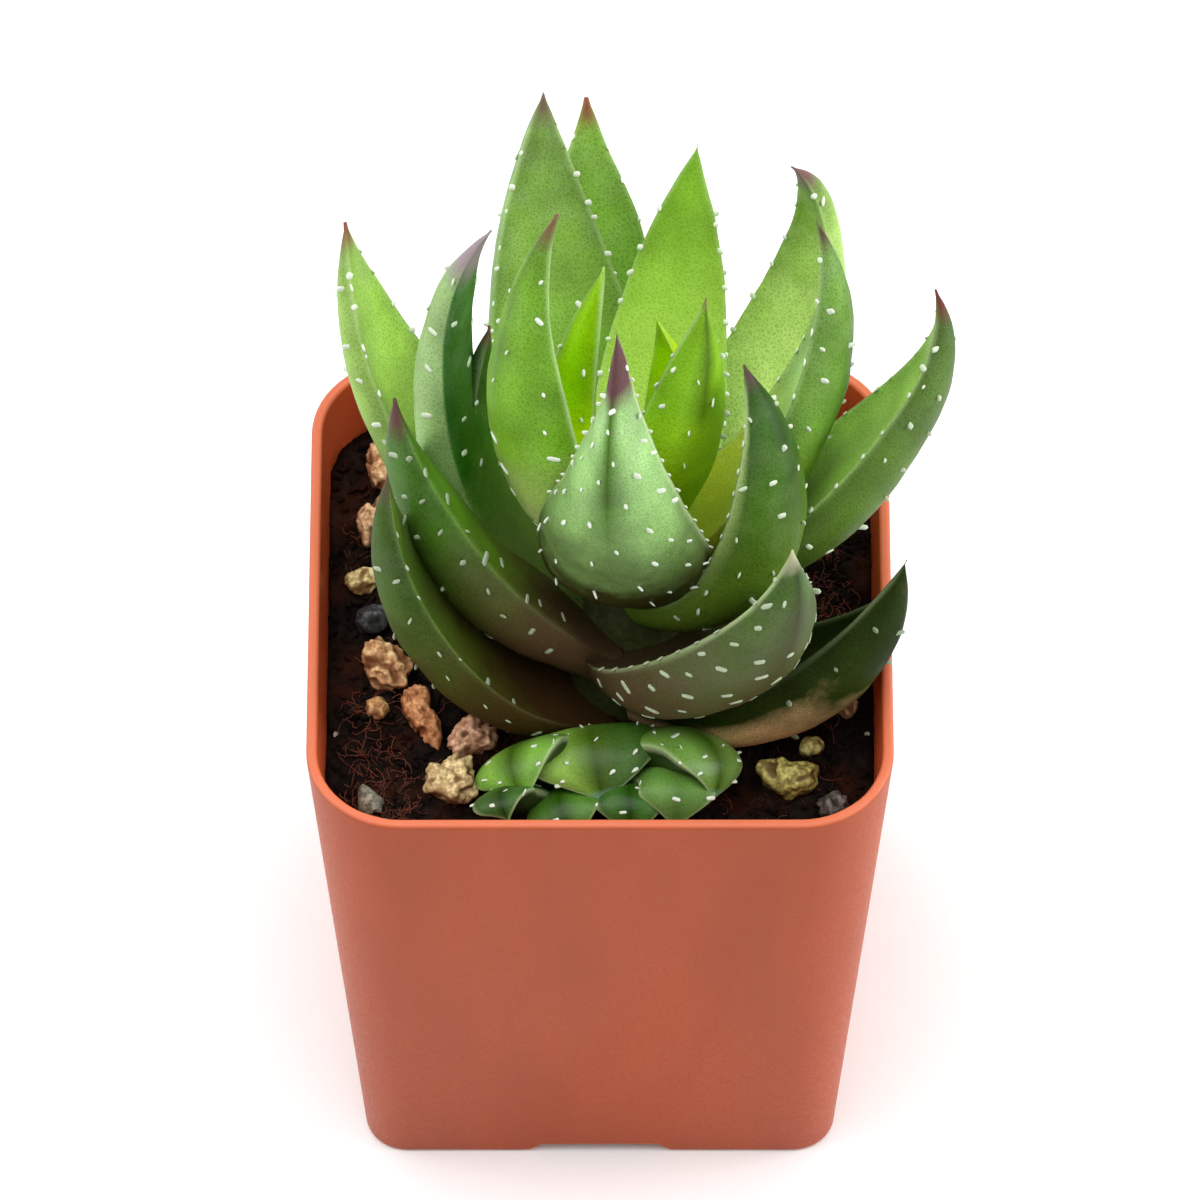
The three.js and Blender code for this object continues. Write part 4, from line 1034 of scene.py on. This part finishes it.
class HAWORTHIA_OT_stems(bpy.types.Operator):
    """The two short stems that the leaves grow from."""
    bl_idname = "haworthia.stems"
    bl_label = "Stems"

    def execute(self, context):
        flesh = streaked("green_stem", linear("4C5422"), 0.5, 0.8, 0.6)
        for (name, stem), base in zip(STEMS.items(), (PLANT, PUP_PLANT)):
            place = plant_frame(*base)
            profile = ((STEM_POINT, stem["root"]), (stem["foot"], stem["root"]),
                       (stem["thick"], -1), (stem["thick"], stem["shoulder"]),
                       (stem["thin"], stem["top"] - 1), (STEM_POINT, stem["top"]))
            rings = [
                stem_ring(lerp(r0, r1, step / STEM_STEPS), lerp(z0, z1, step / STEM_STEPS), place)
                for (r0, z0), (r1, z1) in zip(profile, profile[1:]) for step in range(STEM_STEPS)]
            rings.append(stem_ring(*profile[-1], place))
            piece = mesh_piece(name + "_fine", *loft(rings))
            piece.data.materials.append(flesh)
            seat_piece(piece, name)
        return {"FINISHED"}


def stem_ring(radius, z, place, sides=32):
    """One section of a stem, ringed by the scars of old leaf bases."""
    scar = SCARS[1] * math.sin(z * SCARS[0])
    ring = []
    for j in range(sides):
        angle = 2 * math.pi * j / sides
        bumps = noise.noise(around(angle, 2, z * 0.6)) * STEM_BUMPS
        reach = max(radius + min(radius, 1) * (scar + bumps), STEM_BUMPS)
        ring.append(place @ around(angle, reach, z))
    return ring


# ---------------- pot

def rounded_square(half, radius, z, steps):
    """A square with rounded corners, counter-clockwise seen from above."""
    ring = []
    for corner, (sx, sy) in enumerate(((1, 1), (-1, 1), (-1, -1), (1, -1))):
        for k in range(steps + 1):
            angle = math.radians(90 * (corner + k / steps))
            ring.append(Vector((sx * (half - radius) + radius * math.cos(angle),
                                sy * (half - radius) + radius * math.sin(angle), z)))
    return ring


def pot_ring(z, inset, steps):
    """The pot's outline at a height, moved in by an inset."""
    share = z / POT_HEIGHT
    half = lerp(POT_BOTTOM, POT_TOP, share) / 2
    radius = lerp(BOTTOM_CORNER_RADIUS, TOP_CORNER_RADIUS, share)
    return rounded_square(half - inset, max(radius - inset, LEAST_CORNER_RADIUS), z, steps)


def quarter_round(radius, steps=4):
    """Insets and rises of a quarter round, from the flank to the edge."""
    return [(radius * (1 - math.cos(math.pi / 2 * k / steps)),
             radius * math.sin(math.pi / 2 * k / steps)) for k in range(steps + 1)]


class HAWORTHIA_OT_pot(bpy.types.Operator):
    """The square nursery pot, with its rounded rim, foot recesses and drain holes."""
    bl_idname = "haworthia.pot"
    bl_label = "Pot"

    def execute(self, context):
        steps = context.scene.haworthia_pot.corner_steps
        top = POT_HEIGHT
        rings = [pot_ring(FOOT_ROUND - rise, inset, steps)
                 for inset, rise in reversed(quarter_round(FOOT_ROUND))]
        rings += [pot_ring(top - RIM_ROUND + rise, inset, steps)
                  for inset, rise in quarter_round(RIM_ROUND)]
        rings += [pot_ring(top - RIM_ROUND + rise, WALL - inset, steps)
                  for inset, rise in reversed(quarter_round(RIM_ROUND))]
        rings += [pot_ring(z, WALL, steps) for z in (40, 20, POT_FLOOR + FLOOR_FILLET)]
        rings.append(pot_ring(POT_FLOOR, WALL + FLOOR_FILLET, steps))
        for ring in rings:
            for point in ring:
                wave = noise.noise(Vector((point.x * RIM_WAVES, point.y * RIM_WAVES, 3.0)))
                point.z += RIM_UNEVENNESS * wave * smooth(point.z, top - 1, top)
        piece = mesh_piece("pot_fine", *loft(rings))
        cut_pot(piece)
        piece.data.materials.append(moulded_polypropylene())
        seat_piece(piece, "pot")
        return {"FINISHED"}


def recess_cutter():
    """A drainage recess in the middle of one side of the foot, with soft upper corners."""
    half = RECESS_WIDTH / 2
    outline = [(-half, -1), (half, -1), (half, 0)]
    outline += [(half - RECESS_SLOPE * smooth(k, 0, 6), RECESS_HEIGHT * k / 6) for k in range(1, 7)]
    outline += [(-x, z) for x, z in reversed(outline[2:])]
    front = [Vector((x, -POT_BOTTOM / 2 - 1, z)) for x, z in outline]
    back = [Vector((x, -POT_BOTTOM / 2 + RECESS_DEPTH, z)) for x, z in outline]
    return loft([back, front])


def drain_cutter():
    """A drain hole through the floor."""
    def ring(z):
        return [Vector((DRAIN_RADIUS * math.cos(a), DRAIN_RADIUS * math.sin(a) - DRAIN_FROM_CENTRE,
                        z)) for a in (2 * math.pi * k / 32 for k in range(32))]
    return loft([ring(-2), ring(POT_FLOOR + 2)])


def cut_pot(piece):
    """Takes the recesses and the drain holes out of the pot and keeps its edges crisp."""
    cutters = []
    for side in range(4):
        for points, faces in (recess_cutter(), drain_cutter()):
            turn = Matrix.Rotation(side * math.pi / 2, 3, "Z")
            cutters.append(mesh_piece("cutter", [turn @ p for p in points], faces))
    for cutter in cutters:
        face_outward(cutter.data)
        modifier = piece.modifiers.new("cut", "BOOLEAN")
        modifier.operation = "DIFFERENCE"
        modifier.solver = "EXACT"
        modifier.object = cutter
    plain_mesh(piece)
    for cutter in cutters:
        bpy.data.objects.remove(cutter)
    keep_crisp(piece.data, 35)


# ---------------- soil

def soil_height(x, y):
    """The soil's broad waves, as in the frame's source."""
    return (SOIL_LEVEL + 0.5 * math.sin(0.42 * x + 1) * math.cos(0.37 * y)
            + 0.3 * math.sin(1.1 * x - 0.6 * y) + 0.25 * math.cos(0.9 * y + 0.5 * x))


def soil_lump(x, y):
    """Fine lumps on top of the soil's broad waves."""
    at = Vector((x, y, 0))
    return 0.55 * noise.fractal(at * 0.45, 1.0, 2.2, 4) + 0.18 * noise.noise(at * 2.6)


def potting_mix_tree():
    """Geometry tree: crumbs, grit and fibres strewn over the soil."""
    tree, add, given = new_geometry_tree("potting_mix", {
        "Crumb density": 1e6, "Crumb size": 1.0 * MM, "Grit density": 1e4, "Fibre density": 1e5,
        "Fibre length": 5.0 * MM, "Peat": None, "Coir": None, "Grit": None})

    def strewn(mask, density, seed, shape, turns, stretches, size):
        """Copies of a shape over the soil, as dense as a mask says, turned and sized by draw."""
        share = add(MATH, (add(FIELD, (mask,), **OF_FLOATS), density), **TIMES)
        seats = add("GeometryNodeDistributePointsOnFaces", {
            "Mesh": given["Geometry"], "Density": share, "Seed": seed})
        turned, stretched = (
            add(DRAW, {0: low, 1: high, "Seed": seed + step}, **OF_VECTORS)
            for step, (low, high) in enumerate((turns, stretches), start=1))
        placed = add(PLACE, {"Points": seats, "Instance": shape, "Rotation": turned})
        scale = add(VECTOR, {0: stretched, "Scale": size}, **SCALED)
        sized = add("GeometryNodeScaleInstances", {"Instances": placed, "Scale": scale})
        return add("GeometryNodeRealizeInstances", (sized,))

    ball = add("GeometryNodeMeshIcoSphere", {"Radius": 0.5, "Subdivisions": 1})
    dents = add(NOISE, {"Scale": 2.6, "Detail": 1.0}, out="Color")
    dents = add(VECTOR, (dents, (0.45, 0.45, 0.45)), **MINUS)
    crumb = add(MOVE, {"Geometry": ball, "Offset": dents})
    small = add(MATH, (given["Crumb size"], 0.7), **TIMES)
    parts = []
    for label, size, seed, finish in (("Grit density", small, GRIT_SEED, "Grit"),
                                      ("Crumb density", given["Crumb size"], CRUMB_SEED, "Peat")):
        lumps = strewn("ground", given[label], seed, crumb, ((0, 0, 0), (6.28, 6.28, 6.28)),
                       ((0.45, 0.45, 0.35), (1.5, 1.3, 1.0)), size)
        parts.append(add(FINISH, {"Geometry": lumps, "Material": given[finish]}))

    arc = add("GeometryNodeCurveArc", {
        "Resolution": 7, "Radius": 0.45, "Sweep Angle": 2.4}, mode="RADIUS")
    fibres = strewn("fibrous", given["Fibre density"], FIBRE_SEED, arc,
                    ((-0.5, -0.5, 0), (0.5, 0.5, 6.28)), ((0.4, 0.25, 1), (1.3, 1.2, 1)),
                    given["Fibre length"])
    kinks = add(VECTOR, (add(NOISE, {"Scale": 420.0}, out="Color"), (0.5, 0.5, 0.5)), **MINUS)
    kinks = add(VECTOR, {0: kinks, "Scale": 1.4 * MM}, **SCALED)
    wavy = add(MOVE, {"Geometry": fibres, "Offset": kinks})
    profile = add("GeometryNodeCurvePrimitiveCircle", {"Resolution": 3, "Radius": 0.045 * MM})
    tubes = add("GeometryNodeCurveToMesh", {
        "Curve": wavy, "Profile Curve": profile, "Fill Caps": True})
    parts.append(add(FINISH, {"Geometry": tubes, "Material": given["Coir"]}))
    parts.append(add(FINISH, {"Geometry": given["Geometry"], "Material": given["Peat"]}))
    add("NodeGroupOutput", (add(JOIN, (parts,)),))
    return tree


class HAWORTHIA_OT_soil(bpy.types.Operator):
    """The potting mix: lumpy peat with crumbs, coir fibres and grit."""
    bl_idname = "haworthia.soil"
    bl_label = "Soil"

    def execute(self, context):
        settings = context.scene.haworthia_soil
        rim = dense_ring(pot_ring(SOIL_LEVEL, SOIL_INSET, SOIL_CORNER_STEPS), SOIL_SPACING)
        low = pot_ring(POT_FLOOR + CLEARANCE, SOIL_INSET + CLEARANCE, SOIL_CORNER_STEPS)
        rings = [dense_like(rim, low)]
        ground, fibrous = [0.0] * len(rim), [0.0] * len(rim)
        for k in range(SOIL_RINGS):
            share = 1 - k / SOIL_RINGS
            open_ground = 1.0 if k else 0.0
            fade = open_ground * (1 - smooth(share, *FIBRE_FADE))
            ring = []
            for edge in rim:
                x, y = edge.x * share, edge.y * share
                point = Vector((x, y, soil_height(x, y) + soil_lump(x, y)))
                near = max(
                    1 - smooth((point - Vector((px, py, point.z))).length,
                               FIBRE_PATCH_CORE * reach, reach)
                    for px, py, reach in FIBRE_PATCHES)
                ring.append(point)
                ground.append(open_ground)
                fibrous.append((FIBRES_ELSEWHERE + near) * fade)
            rings.append(ring)
        piece = mesh_piece("soil_fine", *loft(rings))
        point_data(piece.data, "ground", ground)
        point_data(piece.data, "fibrous", fibrous)
        add_geometry_tree(piece, potting_mix_tree(), {
            "Crumb density": settings.crumb_density, "Crumb size": settings.crumb_size,
            "Grit density": settings.grit_density, "Fibre density": settings.fibre_density,
            "Fibre length": settings.fibre_length, "Peat": damp_peat(),
            "Coir": streaked("coir_fibre", settings.fibre_colour, 0.3, 2.0, 0.6),
            "Grit": streaked("perlite", settings.grit_colour, 0.35, 0.5, 0.9),
        })
        plain_mesh(piece)
        seat_piece(piece, "soil")
        return {"FINISHED"}


def dense_ring(ring, spacing):
    """The same closed line with points about one spacing apart."""
    dense = []
    for a, b in zip(ring, ring[1:] + ring[:1]):
        count = max(1, round((b - a).length / spacing))
        dense += [a.lerp(b, k / count) for k in range(count)]
    return dense


def dense_like(ring, target):
    """Points of another ring, one for each point of this one, in the same directions."""
    size = max(abs(p.x) for p in target) / max(abs(p.x) for p in ring)
    return [Vector((p.x * size, p.y * size, target[0].z)) for p in ring]


# ---------------- stones and husk

def stone_reach(direction, size, lumps):
    """How far a stone reaches from its middle in a direction: the furthest of its lumps."""
    best = 0.0
    for centre, radius in lumps:
        scaled = Vector((direction.x / size[0], direction.y / size[1], direction.z / size[2]))
        a = scaled.dot(scaled)
        b = scaled.dot(centre)
        inside = b * b - a * (centre.dot(centre) - radius * radius)
        if inside > 0:
            best = max(best, (b + math.sqrt(inside)) / a)
    return best


def stone_object(name, place, size, turn, knobs, seed):
    """A piece of grit: a lumpy, pitted body with its knobs grown on."""
    draw = random.Random(seed)
    lumps = [(Vector((0, 0, 0)), STONE_BODY)]
    for knob in range(knobs):
        share = (knob + KNOB["astray"] * draw.random()) / knobs
        angle = math.radians(360 * share + KNOB["first"])
        lumps.append((around(angle, KNOB["start"], KNOB["lift"]), KNOB["size"]))
    built = bmesh.new()
    bmesh.ops.create_icosphere(built, subdivisions=5, radius=1)
    turn = Matrix.Rotation(math.radians(turn), 3, "Z")
    shift = Vector((seed * 5.1, seed * 2.3, seed * 9.7))
    hollows = []
    for vertex in built.verts:
        direction = vertex.co.normalized()
        point = direction * stone_reach(direction, size, lumps)
        dent = max(0, noise.noise(point * STONE_DENTS[0] + shift))
        rough = (STONE_LUMPS[1] * noise.fractal(point * STONE_LUMPS[0] + shift, 1.0, 2.1, 3)
                 + STONE_GRAIN[1] * noise.noise(point * STONE_GRAIN[0] + shift)
                 - STONE_DENTS[1] * dent)
        vertex.co = (place + turn @ (point * (1 + rough))) * MM
        # hollow marks the dents, where the stone's finish paints shade.
        hollows.append(smooth(dent, 0.12, 0.4))
    mesh = bpy.data.meshes.new(name)
    built.to_mesh(mesh)
    built.free()
    point_data(mesh, "hollow", hollows)
    mesh.shade_smooth()
    return add_object(name, mesh)


class HAWORTHIA_OT_stones(bpy.types.Operator):
    """The bits of pumice and slate-grey grit that lie on the soil."""
    bl_idname = "haworthia.stones"
    bl_label = "Stones"

    def execute(self, context):
        for seed, (name, (x, y, size, turn, knobs, code)) in enumerate(STONES.items(), STONE_SEED):
            place = Vector((x, y, soil_height(x, y) + size[2] * STONE_LIFT))
            piece = stone_object(name + "_fine", place, size, turn, knobs, seed)
            piece.data.materials.append(rough_stone("weathered_pumice_" + code, code))
            seat_piece(piece, name)
        return {"FINISHED"}


class HAWORTHIA_OT_husk(bpy.types.Operator):
    """A dry, curled chip of husk in the front left corner."""
    bl_idname = "haworthia.husk"
    bl_label = "Husk chip"

    def execute(self, context):
        half, rise, skin = HUSK["width"] / 2, HUSK["rise"], HUSK["skin"]
        x0, y0 = HUSK["at"]
        place = Vector((x0, y0, soil_height(x0, y0) + HUSK["lift"]))
        turn = Matrix.Rotation(math.radians(HUSK["turn"]), 3, "Z")
        length_steps, width_steps = HUSK_STEPS
        rings = []
        for i in range(length_steps + 1):
            t = i / length_steps
            narrow = (1 - t) ** 0.7 * (0.5 + 0.7 * smooth(t, 0, 0.3)) + 0.04
            upper, lower = [], []
            for j in range(width_steps + 1):
                u = 2 * j / width_steps - 1
                arch = rise * (1 - u * u) * narrow
                ragged = 0.25 * narrow * noise.noise(Vector((u * 2, t * 6, 4)))
                across, along = u * half * narrow, (t - 0.5) * HUSK["length"]
                upper.append(place + turn @ Vector((across, along, arch + skin * narrow + ragged)))
                lower.append(place + turn @ Vector((across, along, arch * 0.9 + ragged)))
            rings.append(lower + upper[::-1])
        piece = mesh_piece("husk_chip_fine", *loft(rings))
        face_outward(piece.data)
        keep_crisp(piece.data, 50)
        piece.data.materials.append(streaked("dry_husk", linear("A8A894"), 0.15, 0.5, 0.6))
        seat_piece(piece, "husk_chip")
        return {"FINISHED"}


# ---------------- stage

class HAWORTHIA_OT_stage(bpy.types.Operator):
    """The plain pale floor, the soft studio light and the camera."""
    bl_idname = "haworthia.stage"
    bl_label = "Stage"

    def execute(self, context):
        scene = context.scene
        settings = scene.haworthia_stage
        corners = [(x * FLOOR_HALF, y * FLOOR_HALF, -FLOOR_DROP)
                   for x, y in ((-1, -1), (1, -1), (1, 1), (-1, 1))]
        floor = mesh_piece("floor", corners, [(0, 1, 2, 3)])
        paper, add, place = new_material("matt_backdrop_paper")
        mottle = add(NOISE, {"Vector": place, "Scale": 1 / (30 * MM)})
        colour = settings.floor_colour
        floor.data.materials.append(shaded(
            paper, rgba(colour, 0.985), ((mottle, rgba(colour)),),
            {"Roughness": 0.95, "Specular IOR Level": 0.1}))

        scene.world = bpy.data.worlds.new("soft_studio")
        scene.world.use_nodes = True
        sky = scene.world.node_tree.nodes["Background"]
        sky.inputs["Color"].default_value = (1, 1, 1, 1)
        sky.inputs["Strength"].default_value = SKY_STRENGTH
        for name, (place, size, power) in LIGHTS.items():
            light = bpy.data.lights.new(name, "AREA")
            light.shape = "SQUARE"
            light.size = size
            light.energy = power
            box = add_object(name, light)
            box.location = place
            box.rotation_euler = (LIGHT_AIM - Vector(place)).to_track_quat("-Z", "Y").to_euler()

        lens = bpy.data.cameras.new("camera")
        lens.sensor_width = 36
        lens.lens = settings.focal_length
        lens.clip_start, lens.clip_end = 0.05, 20
        camera = add_object("camera", lens)
        back = Vector((0, -math.cos(settings.elevation), math.sin(settings.elevation)))
        camera.location = Vector((0, 0, settings.aim_height)) + back * settings.distance
        camera.rotation_euler = (-back).to_track_quat("-Z", "Y").to_euler()
        scene.camera = camera
        scene.view_settings.view_transform = "Standard"
        return {"FINISHED"}


# ---------------- panel and registration

OPERATORS = (
    HAWORTHIA_OT_stage, HAWORTHIA_OT_pot, HAWORTHIA_OT_soil, HAWORTHIA_OT_stones,
    HAWORTHIA_OT_husk, HAWORTHIA_OT_stems, HAWORTHIA_OT_rosette, HAWORTHIA_OT_pup,
)
SETTINGS = {
    "haworthia_leaf": LeafSettings, "haworthia_pot": PotSettings,
    "haworthia_soil": SoilSettings, "haworthia_stage": StageSettings,
}


class HAWORTHIA_PT_panel(bpy.types.Panel):
    """Lists the pieces and their settings in the sidebar."""
    bl_idname = "HAWORTHIA_PT_panel"
    bl_label = "Potted haworthia"
    bl_space_type = "VIEW_3D"
    bl_region_type = "UI"
    bl_category = "Haworthia"

    def draw(self, context):
        for operator in OPERATORS:
            self.layout.operator(operator.bl_idname)
        for label in SETTINGS:
            box = self.layout.box()
            settings = getattr(context.scene, label)
            for key in settings.bl_rna.properties.keys():
                if key not in ("rna_type", "name"):
                    box.prop(settings, key)


def register():
    for label, group in SETTINGS.items():
        bpy.utils.register_class(group)
        setattr(bpy.types.Scene, label, PointerProperty(type=group))
    for operator in OPERATORS:
        bpy.utils.register_class(operator)
    bpy.utils.register_class(HAWORTHIA_PT_panel)


def unregister():
    bpy.utils.unregister_class(HAWORTHIA_PT_panel)
    for operator in reversed(OPERATORS):
        bpy.utils.unregister_class(operator)
    for label, group in reversed(SETTINGS.items()):
        delattr(bpy.types.Scene, label)
        bpy.utils.unregister_class(group)


def main():
    register()
    for operator in OPERATORS:
        group, name = operator.bl_idname.split(".")
        getattr(getattr(bpy.ops, group), name)()


if __name__ == "__main__":
    main()
